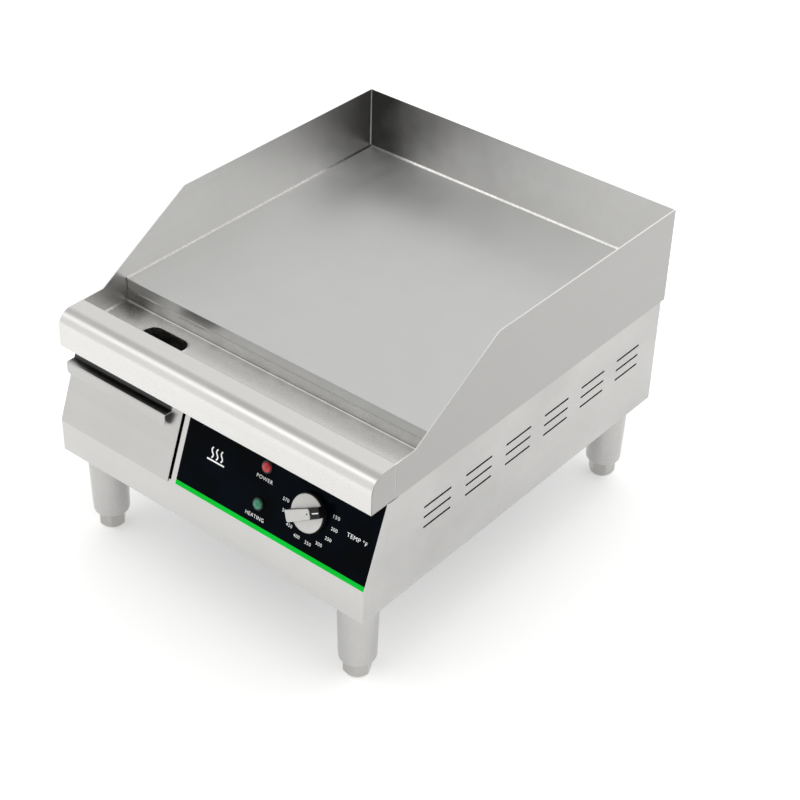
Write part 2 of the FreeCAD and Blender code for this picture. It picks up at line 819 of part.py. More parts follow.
def make_leg(name, x, y):
    """Tapered leg, bored from below for the foot's spindle and from above for its bolt."""
    label = f"leg_{name}"
    body = new_body(f"{label}_turned")
    half = outline(body, "XZ", f"{label}_half", [
        (0, "leg_bottom"),
        ("leg_low_radius", "leg_bottom"),
        ("leg_radius", "base_height - leg_taper_height"),
        ("leg_radius", "base_height"),
        (0, "base_height"),
    ])
    turn = body.newObject("PartDesign::Revolution", f"{label}_turn")
    turn.Profile = half
    turn.ReferenceAxis = (half, ["V_Axis"])
    turn.Angle = 360
    round_edges(body, f"{label}_end", "leg_end_round",
                lambda edge, middle: near(middle.z, "leg_bottom") and edge.Length > size("leg_low_radius"))
    place(body, x, y, 0)
    foot_bore = rod(f"{label}_foot_bore", "spindle_radius + bore_fit", f"spindle_length + {BEYOND}",
                    (x, y, f"leg_bottom - {BEYOND} / 2"))
    bolt_bore = rod(f"{label}_bolt_bore", "bolt_radius", f"bolt_length + {BEYOND}",
                    (x, y, "base_height - bolt_length"))
    keep(cut(label, body, [foot_bore, bolt_bore]), label)


def make_foot(name, x, y):
    """Hexagon foot, turned off at 45 degrees below, with a threaded spindle that screws into the leg."""
    label = f"foot_{name}"
    height = "(leg_bottom - foot_clearance)"
    blank = hexagon(f"{label}_blank", "foot_radius", height, x, y, 0, FOOT_TURNS[name])
    cone = doc.addObject("Part::Cone", f"{label}_cone")
    bind(cone, "Radius1", "foot_flat_radius")
    bind(cone, "Radius2", f"foot_flat_radius + {height}")
    bind(cone, "Height", height)
    place(cone, x, y, 0)
    head = doc.addObject("Part::MultiCommon", f"{label}_head")
    head.Shapes = [blank, cone]
    spindle = rod(f"{label}_spindle", "spindle_radius", "spindle_length - foot_clearance", (x, y, height))
    keep(fuse(label, [head, spindle]), label)


def make_leg_bolts():
    bolts = []
    floor = "base_height + body_gauge"
    for name, x, y in leg_places():
        head = hexagon(f"leg_bolt_head_{name}", "bolt_head_radius", "bolt_head_height", x, y, floor)
        shank = rod(f"leg_bolt_shank_{name}", "bolt_radius", "bolt_length", (x, y, f"{floor} - bolt_length"))
        bolts.append(fuse(f"leg_bolt_{name}", [head, shank]))
    keep(gather("leg_bolts", bolts), "leg_bolts")


# ---------------------------------------------------------------------------------------------
# Grease drawer and its runners
# ---------------------------------------------------------------------------------------------

def on_face(height, out):
    """The Y of the drawer's face at a height, on its inner or outer side."""
    return panel_y(f"(({height}) - knee_height - ({out}) * sin(front_tilt)) / cos(front_tilt)", out)


FACE_INNER = "face_gap"
FACE_OUTER = "(face_gap + body_gauge)"


def make_drawer_front():
    """Sloped face that laps over the mouth's sill, with a flange and a leg that is welded to the tray."""
    gauge = "body_gauge"
    low = "face_flange_z"
    body = prism("drawer_front", "YZ", [
        (panel_y("drawer_high", FACE_OUTER), panel_z("drawer_high", FACE_OUTER)),
        (panel_y("drawer_low", FACE_OUTER), panel_z("drawer_low", FACE_OUTER)),
        (panel_y("drawer_low", FACE_INNER), panel_z("drawer_low", FACE_INNER)),
        (on_face(low, FACE_INNER), low),
        (deep("tray_front_depth"), low),
        (deep("tray_front_depth"), f"{low} + face_leg"),
        (deep(f"tray_front_depth + {gauge}"), f"{low} + face_leg"),
        (deep(f"tray_front_depth + {gauge}"), f"{low} + {gauge}"),
        (on_face(f"{low} + {gauge}", FACE_INNER), f"{low} + {gauge}"),
        (panel_y("drawer_high", FACE_INNER), panel_z("drawer_high", FACE_INNER)),
    ], "drawer_right - drawer_left")
    place(body, "drawer_left", 0, 0)
    keep(body, "drawer_front")


def make_drawer_handle():
    """Angle welded across the face: a level flange with its lip hanging plumb."""
    gauge = "body_gauge"
    body = prism("drawer_handle", "YZ", [
        (on_face("handle_z", FACE_OUTER), "handle_z"),
        (deep("handle_depth"), "handle_z"),
        (deep("handle_depth"), "handle_z - handle_lip"),
        (deep(f"handle_depth - {gauge}"), "handle_z - handle_lip"),
        (deep(f"handle_depth - {gauge}"), f"handle_z - {gauge}"),
        (on_face(f"handle_z - {gauge}", FACE_OUTER), f"handle_z - {gauge}"),
    ], "handle_right - handle_left")
    rounds = (
        ("handle_outer_bend", "2 * corner_bend - body_gauge", "handle_depth", "handle_z"),
        ("handle_inner_bend", "2 * corner_bend - 2 * body_gauge", f"handle_depth - {gauge}",
         f"handle_z - {gauge}"),
    )
    for name, radius, depth, height in rounds:
        round_edges(body, name, radius,
                    lambda edge, middle: near(middle.y, deep(depth)) and near(middle.z, height))
    round_edges(body, "handle_lip_corners", "handle_lip / 3",
                lambda edge, middle: near(middle.z, "handle_z - handle_lip")
                and near(middle.y, deep(f"handle_depth - {gauge} / 2")))
    place(body, "handle_left", 0, 0)
    keep(body, "drawer_handle")


def make_drawer_tray():
    outside = block("tray_outside", ("tray_left", deep("tray_front_depth"), "tray_bottom"),
                    ("tray_right", deep("tray_rear_depth"), "tray_top"))
    inside = block("tray_inside",
                   ("tray_left + body_gauge", deep("tray_front_depth - body_gauge"),
                    "tray_bottom + body_gauge"),
                   ("tray_right - body_gauge", deep("tray_rear_depth + body_gauge"),
                    f"tray_top + {BEYOND}"))
    keep(cut("drawer_tray", outside, [inside]), "drawer_tray")


def make_runner(label, wall_x, sign):
    """Angle that the tray's edge slides on."""
    low = "tray_bottom - runner_gap - body_gauge"
    near_x, far_x = sorted((wall_x, f"{wall_x} + {sign} * runner_width"), key=size)
    leg_near, leg_far = sorted((wall_x, f"{wall_x} + {sign} * body_gauge"), key=size)
    shelf = block(f"{label}_shelf", (near_x, BAY_FRONT, low), (far_x, BAY_REAR, f"{low} + body_gauge"))
    upright = block(f"{label}_upright", (leg_near, BAY_FRONT, low),
                    (leg_far, BAY_REAR, f"{low} + runner_height"))
    keep(fuse(label, [shelf, upright]), label)


# ---------------------------------------------------------------------------------------------
# Control panel: film, stripe, lamps, thermostat and knob
# ---------------------------------------------------------------------------------------------

def panel_sheet(name, low, high):
    """A film on the sloped panel, between two places up the slope."""
    sheet_box = doc.addObject("Part::Box", name)
    bind(sheet_box, "Length", "film_right - film_left")
    bind(sheet_box, "Width", f"{high} - {low}")
    bind(sheet_box, "Height", "film_gauge")
    return place_on_panel(sheet_box, "film_left", low)


def make_control_film():
    """Gloss film with the lamps' and the shaft's holes, and the green stripe below it."""
    film = panel_sheet("film_sheet", "stripe_high", "film_high")
    keep(cut("control_film", film, panel_holes("film")), "control_film")
    keep(panel_sheet("trim_stripe", "stripe_low", "stripe_high"), "trim_stripe")


def make_lamp(colour):
    """Indicator lamp: a low domed lens in a body that clips through the panel."""
    up = f"{colour}_lamp_up"
    bezel = panel_rod(f"{colour}_bezel", "bezel_radius", "bezel_height", "lamp_x", up, "film_gauge")
    barrel = panel_rod(f"{colour}_barrel", "lens_radius + lamp_fit", "barrel_length", "lamp_x", up,
                       "film_gauge - barrel_length")
    housing = fuse(f"{colour}_housing", [bezel, barrel])
    stem_radius = "lens_radius - lamp_fit"
    stem_length = 4
    stem_start = f"film_gauge + bezel_height + lamp_fit - {stem_length}"
    socket = panel_rod(f"{colour}_socket", stem_radius, 2 * BEYOND, "lamp_x", up, stem_start)
    keep(cut(f"{colour}_lamp_body", housing, [socket]), f"{colour}_lamp_body")
    stem = panel_rod(f"{colour}_stem", stem_radius, stem_length, "lamp_x", up, stem_start)
    dome = doc.addObject("Part::Ellipsoid", f"{colour}_dome")
    bind(dome, "Radius1", "lens_dome")
    bind(dome, "Radius2", stem_radius)
    bind(dome, "Radius3", stem_radius)
    dome.Angle1 = 0
    place_on_panel(dome, "lamp_x", up, f"{stem_start} + {stem_length}")
    keep(fuse(f"{colour}_lamp_lens", [stem, dome]), f"{colour}_lamp_lens")


def knob_bar(body, name, start, end, low, high):
    """A bar across the knob at its rest angle, between two heights over the panel."""
    half = "grip_width / 2"
    corners = [(start, f"0 - {half}"), (end, f"0 - {half}"), (end, half), (start, half)]
    drawing = outline(body, "XY", name, [
        (f"({along}) * cos(knob_rest_angle) - ({aside}) * sin(knob_rest_angle)",
         f"({along}) * sin(knob_rest_angle) + ({aside}) * cos(knob_rest_angle)")
        for along, aside in corners])
    bind(drawing, ".AttachmentOffset.Base.z", low)
    return drawing, f"({high}) - ({low})"


KNOB_FACE = "(film_gauge + knob_gap + skirt_height)"
KNOB_TOP = f"({KNOB_FACE} + grip_height)"


def make_knob():
    """Black moulded knob with a bar grip, a bright face plate around the bar and a bright cap on it."""
    half = "grip_length / 2"
    stem_half = "knob_stem / 2"
    skirt = panel_rod("knob_skirt", "skirt_radius", "skirt_height", "knob_x", "knob_up",
                      "film_gauge + knob_gap")
    bar = new_body("knob_bar")
    pad(bar, *knob_bar(bar, "bar_stem", f"0 - {stem_half}", stem_half, f"{KNOB_FACE} - 1",
                       f"{KNOB_FACE} + 1"))
    pad(bar, *knob_bar(bar, "bar_grip", f"0 - {half}", half, f"{KNOB_FACE} + bright_gauge", KNOB_TOP))
    place_on_panel(bar, "knob_x", "knob_up")
    bore = panel_rod("knob_bore", "shaft_radius + bore_fit", "2 * knob_gap + skirt_height + shaft_in_bar",
                     "knob_x", "knob_up", "film_gauge")
    keep(cut("knob_body", fuse("knob_solid", [skirt, bar]), [bore]), "knob_body")
    disc = panel_rod("knob_disc", "knob_face_radius", "bright_gauge", "knob_x", "knob_up", KNOB_FACE)
    room = new_body("knob_stem_room")
    pad(room, *knob_bar(room, "stem_room", f"0 - {stem_half}", stem_half, f"{KNOB_FACE} - 2",
                        f"{KNOB_FACE} + 2"))
    place_on_panel(room, "knob_x", "knob_up")
    keep(cut("knob_face", disc, [room]), "knob_face")
    cap = new_body("knob_grip_cap")
    pad(cap, *knob_bar(cap, "cap_sheet", f"0 - {half}", "grip_cap_end", KNOB_TOP,
                       f"{KNOB_TOP} + bright_gauge"))
    place_on_panel(cap, "knob_x", "knob_up")
    keep(cap, "knob_grip_cap")


THERMOSTAT_BACK = "(body_gauge + bush_length + thermostat_height)"
THERMOSTAT_MIDDLE = "(body_gauge + bush_length + thermostat_height / 2)"


def make_thermostat():
    """Thermostat hung behind the panel on two screws, with its shaft through panel and knob."""
    bush_back = "(body_gauge + bush_length)"
    bush = panel_rod("thermostat_bush", "bush_radius", "bush_length", "knob_x", "knob_up",
                     f"0 - {bush_back}")
    case = doc.addObject("Part::Box", "thermostat_case")
    bind(case, "Length", "thermostat_length")
    bind(case, "Width", "thermostat_width")
    bind(case, "Height", "thermostat_height")
    place_on_panel(case, "knob_x - thermostat_length / 2", "knob_up - thermostat_width / 2",
                   f"0 - {THERMOSTAT_BACK}")
    solid = fuse("thermostat_solid", [bush, case])
    shaft_hole = panel_rod("thermostat_hole", "shaft_radius + bore_fit",
                           f"shaft_in_thermostat + {bush_back} + 2 * knob_gap",
                           "knob_x", "knob_up", f"0 - {bush_back} - shaft_in_thermostat - knob_gap")
    keep(cut("thermostat_body", solid, [shaft_hole]), "thermostat_body")
    shaft = panel_rod("thermostat_shaft", "shaft_radius",
                      f"shaft_in_thermostat + {bush_back} + {KNOB_FACE} + shaft_in_bar",
                      "knob_x", "knob_up", f"0 - {bush_back} - shaft_in_thermostat")
    keep(shaft, "thermostat_shaft")
    screws = [panel_rod(f"thermostat_screw_{name}", "thermostat_screw_radius", "bush_length",
                        f"knob_x + {side} * thermostat_screw_offset", "knob_up", f"0 - {bush_back}")
              for name, side in (("left", -1), ("right", 1))]
    keep(gather("thermostat_screws", screws), "thermostat_screws")


# ---------------------------------------------------------------------------------------------
# Heating: tubular element, clamps, studs, insulation, sensing bulb and safety cut-out
# ---------------------------------------------------------------------------------------------

ELEMENT_Z = "(plate_top - plate_thickness - element_radius)"


def element_x(index):
    return f"(element_pitch * ({index} - (element_runs - 1) / 2))"


def make_heating_element():
    """Serpentine of straight runs and half-round bends, with both ends at the front."""
    runs = int(size("element_runs"))
    members = []
    for index in range(runs):
        length = "element_run + element_end" if index in (0, runs - 1) else "element_run"
        members.append(rod(f"element_run_{index}", "element_radius", length,
                           (element_x(index), deep("element_rear_depth"), ELEMENT_Z), "-Y"))
    for index in range(runs - 1):
        at_rear = index % 2 == 0
        bend = doc.addObject("Part::Torus", f"element_bend_{index}")
        bind(bend, "Radius1", "element_pitch / 2")
        bind(bend, "Radius2", "element_radius")
        bend.Angle3 = 180
        depth = "element_rear_depth" if at_rear else "element_rear_depth + element_run"
        if not at_rear:
            turned(bend, (0, 0, 1), 180)
        place(bend, element_x(index + 0.5), deep(depth), ELEMENT_Z)
        members.append(bend)
    keep(fuse("heating_element", members), "heating_element")
    pin_start = deep("element_rear_depth + element_run + element_end")
    pins = [rod(f"element_pin_{index}", "pin_radius", "pin_length",
                (element_x(index), pin_start, ELEMENT_Z), "-Y")
            for index in (0, runs - 1)]
    keep(gather("element_terminals", pins), "element_terminals")


def make_clamps():
    """Bars that press the element to the plate, on studs welded to the plate's underside."""
    bar_top = f"({UNDER_PLATE} - 2 * element_radius)"
    bar_low = f"({bar_top} - clamp_gauge)"
    stud_low = "(blanket_top + stud_gap)"
    bars = []
    studs = []
    nuts = []
    for row in range(int(size("clamp_rows"))):
        depth = f"clamp_first_depth + {row} * clamp_pitch"
        bar = block(f"clamp_bar_{row}", ("0 - clamp_half", deep(f"{depth} + clamp_width / 2"), bar_low),
                    ("clamp_half", deep(f"{depth} - clamp_width / 2"), bar_top))
        holes = []
        for side, sign in (("left", -1), ("right", 1)):
            spot = f"{row}_{side}"
            x = f"{sign} * 2 * element_pitch"
            y = deep(depth)
            holes.append(rod(f"clamp_hole_{spot}", "stud_radius + stud_clearance", "2 * clamp_gauge",
                             (x, y, f"{bar_top} - 1.5 * clamp_gauge")))
            studs.append(rod(f"plate_stud_{spot}", "stud_radius", f"{UNDER_PLATE} - {stud_low}",
                             (x, y, stud_low)))
            nut = hexagon(f"nut_blank_{spot}", "stud_nut_radius", "stud_nut_height", x, y,
                          f"{bar_low} - stud_nut_height")
            nut_hole = rod(f"nut_hole_{spot}", "stud_radius", "2 * stud_nut_height",
                           (x, y, f"{bar_low} - 1.5 * stud_nut_height"))
            nuts.append(cut(f"stud_nut_{spot}", nut, [nut_hole]))
        bars.append(cut(f"clamp_{row}", bar, holes))
    keep(gather("element_clamps", bars), "element_clamps")
    keep(gather("plate_studs", studs), "plate_studs")
    keep(gather("stud_nuts", nuts), "stud_nuts")


def make_insulation():
    blanket = block("insulation_blanket",
                    ("0 - blanket_half", deep("blanket_front_depth"), "blanket_bottom"),
                    ("blanket_half", deep("blanket_rear_depth"), "blanket_top"))
    keep(blanket, "insulation_blanket")
    gauge = "shield_gauge"
    outside = block("shield_outside",
                    (f"0 - blanket_half - {gauge}", deep(f"blanket_front_depth + {gauge}"),
                     f"blanket_bottom - {gauge}"),
                    (f"blanket_half + {gauge}", deep(f"blanket_rear_depth - {gauge}"), "blanket_top"))
    flanges = block("shield_flanges",
                    (f"-{CASE_INNER}", deep("blanket_front_depth"), f"blanket_bottom - {gauge}"),
                    (CASE_INNER, deep("blanket_rear_depth"), "blanket_bottom"))
    inside = block("shield_inside",
                   ("0 - blanket_half", deep("blanket_front_depth"), "blanket_bottom"),
                   ("blanket_half", deep("blanket_rear_depth"), f"blanket_top + {BEYOND}"))
    keep(cut("heat_shield", fuse("shield_sheet", [outside, flanges]), [inside]), "heat_shield")


def make_sensors():
    """The thermostat's bulb and the high-limit disc, both held against the plate's underside."""
    bulb = rod("sensing_bulb", "bulb_radius", "bulb_length",
               (0, deep("clamp_first_depth + 1.5 * clamp_pitch"), f"{UNDER_PLATE} - bulb_radius"), "-Y")
    keep(bulb, "sensing_bulb")
    disc = rod("high_limit_disc", "limit_radius", "limit_height",
               (0, deep("clamp_first_depth + 0.5 * clamp_pitch"), f"{UNDER_PLATE} - limit_height"))
    keep(disc, "high_limit_disc")


# ---------------------------------------------------------------------------------------------
# Supply: gland, terminal block, earth stud and the wiring between fixed points
# ---------------------------------------------------------------------------------------------

def make_supply():
    """Gland through the rear cover with its nut, and the terminal block and earth stud on the floor."""
    rear = deep("body_rear_depth")
    inner_length = 10
    flange = rod("gland_flange", "gland_radius + gland_flange_rim", "gland_flange_height",
                 ("gland_x", rear, "gland_z"), "Y")
    sleeve = rod("gland_sleeve", "gland_radius", "gland_length",
                 ("gland_x", f"{rear} - {inner_length}", "gland_z"), "Y")
    outer = fuse("gland_outer", [flange, sleeve])
    bore = rod("gland_bore", "gland_bore_radius", "2 * gland_length",
               ("gland_x", f"{rear} - gland_length", "gland_z"), "Y")
    keep(cut("cable_gland", outer, [bore]), "cable_gland")
    nut = hexagon("gland_nut_blank", "gland_radius + gland_nut_rim", "gland_flange_height", "gland_x",
                  f"{rear} - body_gauge", "gland_z")
    turned(nut, *ALONG["-Y"])
    nut_bore = rod("gland_nut_bore", "gland_radius", "gland_length",
                   ("gland_x", f"{rear} - gland_length / 2", "gland_z"), "Y")
    keep(cut("gland_nut", nut, [nut_bore]), "gland_nut")
    floor = "base_height + body_gauge"
    terminal = block("terminal_block", ("gland_x - terminal_half", deep("terminal_front_depth"), floor),
                     ("gland_x + terminal_half", deep("terminal_rear_depth"), f"{floor} + terminal_height"))
    keep(terminal, "terminal_block")
    stud = rod("earth_stud", "earth_stud_radius", "earth_stud_height",
               ("gland_x + earth_stud_offset", deep("earth_stud_depth"), floor))
    keep(stud, "earth_stud")


def wire_path(points, radius):
    """Straight runs through the points, with a tangent arc at each inner point."""
    edges = []
    start = points[0]
    for before, corner, after in zip(points, points[1:], points[2:]):
        backwards = (before - corner).normalize()
        onwards = (after - corner).normalize()
        half_angle = backwards.getAngle(onwards) / 2
        setback = radius / math.tan(half_angle)
        bisector = (backwards + onwards).normalize()
        entry = corner + backwards * setback
        leave = corner + onwards * setback
        middle = corner + bisector * (radius / math.sin(half_angle) - radius)
        edges.append(Part.LineSegment(start, entry).toShape())
        edges.append(Part.Arc(entry, middle, leave).toShape())
        start = leave
    edges.append(Part.LineSegment(start, points[-1]).toShape())
    return Part.Wire(edges)


def wire_solid(points, radius, bend):
    """A round wire swept along its path, checked against its section times its length."""
    path = wire_path([Vector(*(size(value) for value in point)) for point in points], bend)
    start = path.Edges[0]
    direction = start.tangentAt(start.FirstParameter)
    section = Part.Wire(Part.makeCircle(radius, start.valueAt(start.FirstParameter), direction))
    solid = path.makePipeShell([section], True, True)
    expected = math.pi * radius ** 2 * path.Length
    if abs(solid.Volume - expected) > 0.01 * expected:
        raise RuntimeError("a wire's volume is not its section times its length")
    return solid


def make_wires(label, routes, radius="wire_radius"):
    """Wires or tubes of one kind, each fixed at both ends."""
    item = doc.addObject("Part::Feature", label)
    item.Shape = Part.makeCompound([wire_solid(route, size(radius), size("wire_bend")) for route in routes])
    keep(item, label)


def behind_panel(x, up, inward):
    """A place behind the sloped panel."""
    return (x, panel_y(up, f"0 - ({inward})"), panel_z(up, f"0 - ({inward})"))


def into_thermostat(x, up):
    """The last stretch of a wire, square to the thermostat's back."""
    return [behind_panel(x, up, f"{THERMOSTAT_BACK} + wire_straight"), behind_panel(x, up, THERMOSTAT_BACK)]


def make_supply_wires(before_panel):
    """Live and neutral from the terminal block to the thermostat."""
    routes = []
    for side in (-1, 1):
        x = f"gland_x + {side} * supply_wire_half"
        routes.append([(x, deep("terminal_front_depth"), "supply_wire_z"), (x, before_panel, "supply_wire_z")]
                      + into_thermostat(x, "knob_up - 9"))
    make_wires("supply_wires", routes)


def make_element_wires(before_panel):
    """One wire from each end of the element, both to the thermostat's back."""
    channel = deep("blanket_front_depth + wire_lane")
    pin_end = deep("element_rear_depth + element_run + element_end + pin_length")
    last = element_x("(element_runs - 1)")
    first = element_x("0")
    near_x = "knob_x + 10"
    above = "plate_wire_z + wire_spread"
    below = "plate_wire_z - wire_spread"
    crossing = "plate_wire_z + wire_crossing_rise"
    make_wires("element_wires", [
        [(last, pin_end, ELEMENT_Z), (last, channel, ELEMENT_Z), (last, channel, above),
         (last, before_panel, above)] + into_thermostat(last, "knob_up + 12"),
        [(first, pin_end, ELEMENT_Z), (first, channel, ELEMENT_Z), (first, channel, crossing),
         (near_x, channel, crossing), (near_x, channel, below),
         (near_x, before_panel, below)] + into_thermostat(near_x, "knob_up + 3"),
    ])


def make_lamp_wires():
    """One wire from each lamp to the near side of the thermostat."""
    end_x = "knob_x - thermostat_length / 2"
    turn_x = f"{end_x} - lamp_wire_turn"
    routes = []
    for lamp_up, sign in (("red_lamp_up", 1), ("green_lamp_up", -1)):
        up = f"knob_up + {sign} * lamp_wire_half"
        routes.append([
            behind_panel("lamp_x", lamp_up, "barrel_length - film_gauge"),
            behind_panel("lamp_x", lamp_up, "lamp_wire_lane"),
            behind_panel(turn_x, up, "lamp_wire_lane"),
            behind_panel(turn_x, up, THERMOSTAT_MIDDLE),
            behind_panel(end_x, up, THERMOSTAT_MIDDLE),
        ])
    make_wires("lamp_wires", routes)


def make_earth_wire():
    """From the terminal block's end to the earth stud's side."""
    middle = deep("(terminal_front_depth + terminal_rear_depth) / 2")
    stud_face = "gland_x + earth_stud_offset - earth_stud_radius - wire_radius / 2"
    make_wires("earth_wire", [[
        ("gland_x + terminal_half", middle, "supply_wire_z"),
        ("gland_x + terminal_half + earth_wire_turn", middle, "supply_wire_z"),
        (stud_face, deep("earth_stud_depth"), "supply_wire_z"),
    ]])


def make_capillary(before_panel):
    """Tube from the bulb down the front of the heat shield and through the baffle to the thermostat."""
    start = deep("clamp_first_depth + 1.5 * clamp_pitch + bulb_length")
    lane = deep("blanket_front_depth + capillary_lane")
    bulb_z = f"({UNDER_PLATE} - bulb_radius)"
    x = "knob_x + 4"
    crossing = "plate_wire_z + capillary_crossing_rise"
    make_wires("capillary_tube", [
        [(0, start, bulb_z), (0, lane, bulb_z), (0, lane, crossing), (x, lane, crossing),
         (x, lane, "plate_wire_z"), (x, before_panel, "plate_wire_z")]
        + into_thermostat(x, "knob_up + 11")],
        "capillary_radius")


def make_wiring():
    before_panel = deep("plate_front_depth + wire_past_plate")
    make_supply_wires(before_panel)
    make_element_wires(before_panel)
    make_lamp_wires()
    make_earth_wire()
    make_capillary(before_panel)


# ---------------------------------------------------------------------------------------------
# The whole griddle
# ---------------------------------------------------------------------------------------------

def build():
    rail = make_nose_rail()
    make_guard_side("guard_left", "0 - guard_width / 2", rail)
    make_guard_side("guard_right", INNER, rail)
    make_guard_back()
    make_griddle_plate()
    make_weld_beads()
    make_grease_trough()
    make_drain_chute()
    make_front_panel()
    make_side_panel("side_panel_left", -1)
    make_side_panel("side_panel_right", 1)
    make_rear_panel()
    make_case_screws()
    make_floor_pan()
    make_bay_wall()
    make_control_baffle()
    for name, x, y in leg_places():
        make_leg(name, x, y)
        make_foot(name, x, y)
    make_leg_bolts()
    make_drawer_front()
    make_drawer_handle()
    make_drawer_tray()
    make_runner("runner_left", f"(0 - {CASE_INNER})", 1)
    make_runner("runner_right", "bay_wall_x", -1)
    make_control_film()
    make_lamp("red")
    make_lamp("green")
    make_knob()
    make_thermostat()
    make_heating_element()
    make_clamps()
    make_insulation()
    make_sensors()
    make_supply()
    make_wiring()


def check_and_write():
    """Stop on any failed object, then write one file for each sub-part."""
    doc.recompute()
    failed = [item.Name for item in doc.Objects if {"Invalid", "Error"} & set(item.State)]
    broken = [item.Label for item in NODES if item.Shape.isNull() or not item.Shape.isValid()]
    if failed or broken:
        raise RuntimeError(f"failed objects {failed}, broken shapes {broken}")
    os.makedirs("parts", exist_ok=True)
    for item in NODES:
        item.Shape.exportStep(f"parts/{item.Label}.step")
    whole = Part.makeCompound([item.Shape for item in NODES]).BoundBox
    print(f"{len(NODES)} sub-parts, {whole.XLength:.1f} x {whole.YLength:.1f} x {whole.ZLength:.1f} mm")
    print(f"X {whole.XMin:.2f} to {whole.XMax:.2f}, Y {whole.YMin:.2f} to {whole.YMax:.2f}")


build()
check_and_write()
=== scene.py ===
# %% [markdown]
# # Looks of a countertop electric griddle
# The shape comes from a fixed frame of sheet-metal parts. This lesson sets up a small white studio,
# gives every part a finish made of shader nodes, and swaps the knob for finer meshes made here in
# code. It also prints the control panel and adds two small details to the grease trough.

# %% Load the fixed frame
import math

import bpy
from mathutils import Matrix, Vector


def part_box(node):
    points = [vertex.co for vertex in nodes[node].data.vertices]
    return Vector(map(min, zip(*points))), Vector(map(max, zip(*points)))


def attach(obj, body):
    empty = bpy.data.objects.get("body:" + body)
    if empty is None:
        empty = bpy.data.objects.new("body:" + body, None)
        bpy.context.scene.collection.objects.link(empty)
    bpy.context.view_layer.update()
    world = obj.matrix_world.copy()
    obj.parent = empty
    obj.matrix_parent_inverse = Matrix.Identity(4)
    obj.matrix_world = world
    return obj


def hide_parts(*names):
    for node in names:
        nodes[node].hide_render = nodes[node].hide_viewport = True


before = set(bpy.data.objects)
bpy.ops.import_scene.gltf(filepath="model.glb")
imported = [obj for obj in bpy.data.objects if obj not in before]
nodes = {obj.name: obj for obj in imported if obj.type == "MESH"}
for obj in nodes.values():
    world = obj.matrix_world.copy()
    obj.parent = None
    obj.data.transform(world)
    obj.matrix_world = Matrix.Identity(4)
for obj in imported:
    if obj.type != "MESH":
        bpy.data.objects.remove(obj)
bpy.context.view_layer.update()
MM = 0.001

# %% [markdown]
# ## Camera
# The griddle is seen from its front right, from above, through a long lens. A camera can be placed
# by hand, but three angles, a distance and a target say the same thing and are easier to read.
# The camera's own axes come from cross products, and then it rolls a little about its line of sight.

# %% Camera
AZIMUTH = math.radians(38.41)
ELEVATION = math.radians(35.82)
ROLL = math.radians(-1.86)
DISTANCE = 1.8335
SENSOR_WIDTH = 36
FOCAL_LENGTH = 82.96
LENS_SHIFT = (0.0030, -0.0012)
TARGET = Vector((0.0671, -0.0350, 0.1756))
TOWARDS_CAMERA = Vector((math.sin(AZIMUTH) * math.cos(ELEVATION),
                         -math.cos(AZIMUTH) * math.cos(ELEVATION),
                         math.sin(ELEVATION)))


def aim_camera():
    """Make the camera look at the target, rolled about its own axis."""
    lens = bpy.data.cameras.new("studio_camera")
    lens.sensor_width = SENSOR_WIDTH
    lens.lens = FOCAL_LENGTH
    lens.shift_x, lens.shift_y = LENS_SHIFT
    camera = bpy.data.objects.new("studio_camera", lens)
    bpy.context.scene.collection.objects.link(camera)
    across = (-TOWARDS_CAMERA).cross(Vector((0, 0, 1))).normalized()
    down = (-TOWARDS_CAMERA).cross(across)
    right = across * math.cos(ROLL) + down * math.sin(ROLL)
    below = down * math.cos(ROLL) - across * math.sin(ROLL)
    axes = Matrix((right, -below, TOWARDS_CAMERA)).transposed()
    place = TARGET + TOWARDS_CAMERA * DISTANCE
    camera.matrix_world = Matrix.Translation(place) @ axes.to_4x4()
    bpy.context.scene.camera = camera
    return camera


print("camera at", tuple(round(value, 3) for value in aim_camera().matrix_world.translation))

# %% [markdown]
# ## Shader expressions
# A shader is a graph, and a graph written node by node is hard to follow. The class below wraps one
# output socket, so that `1 - mask * 0.5` adds the Math nodes by itself. Every other node is made by
# `node`, which takes its type, its settings and what goes into its sockets.

# %% A signal wraps a socket
def add_node(tree, kind, settings=None, sockets=None, output=0):
    """Make one node: its settings first, then the values or signals of its sockets."""
    made = tree.nodes.new(kind)
    for name, value in (settings or {}).items():
        setattr(made, name, value)
    for name, value in (sockets or {}).items():
        if isinstance(value, Signal):
            tree.links.new(value.socket, made.inputs[name])
        else:
            made.inputs[name].default_value = value
    return Signal(tree, made.outputs[output])


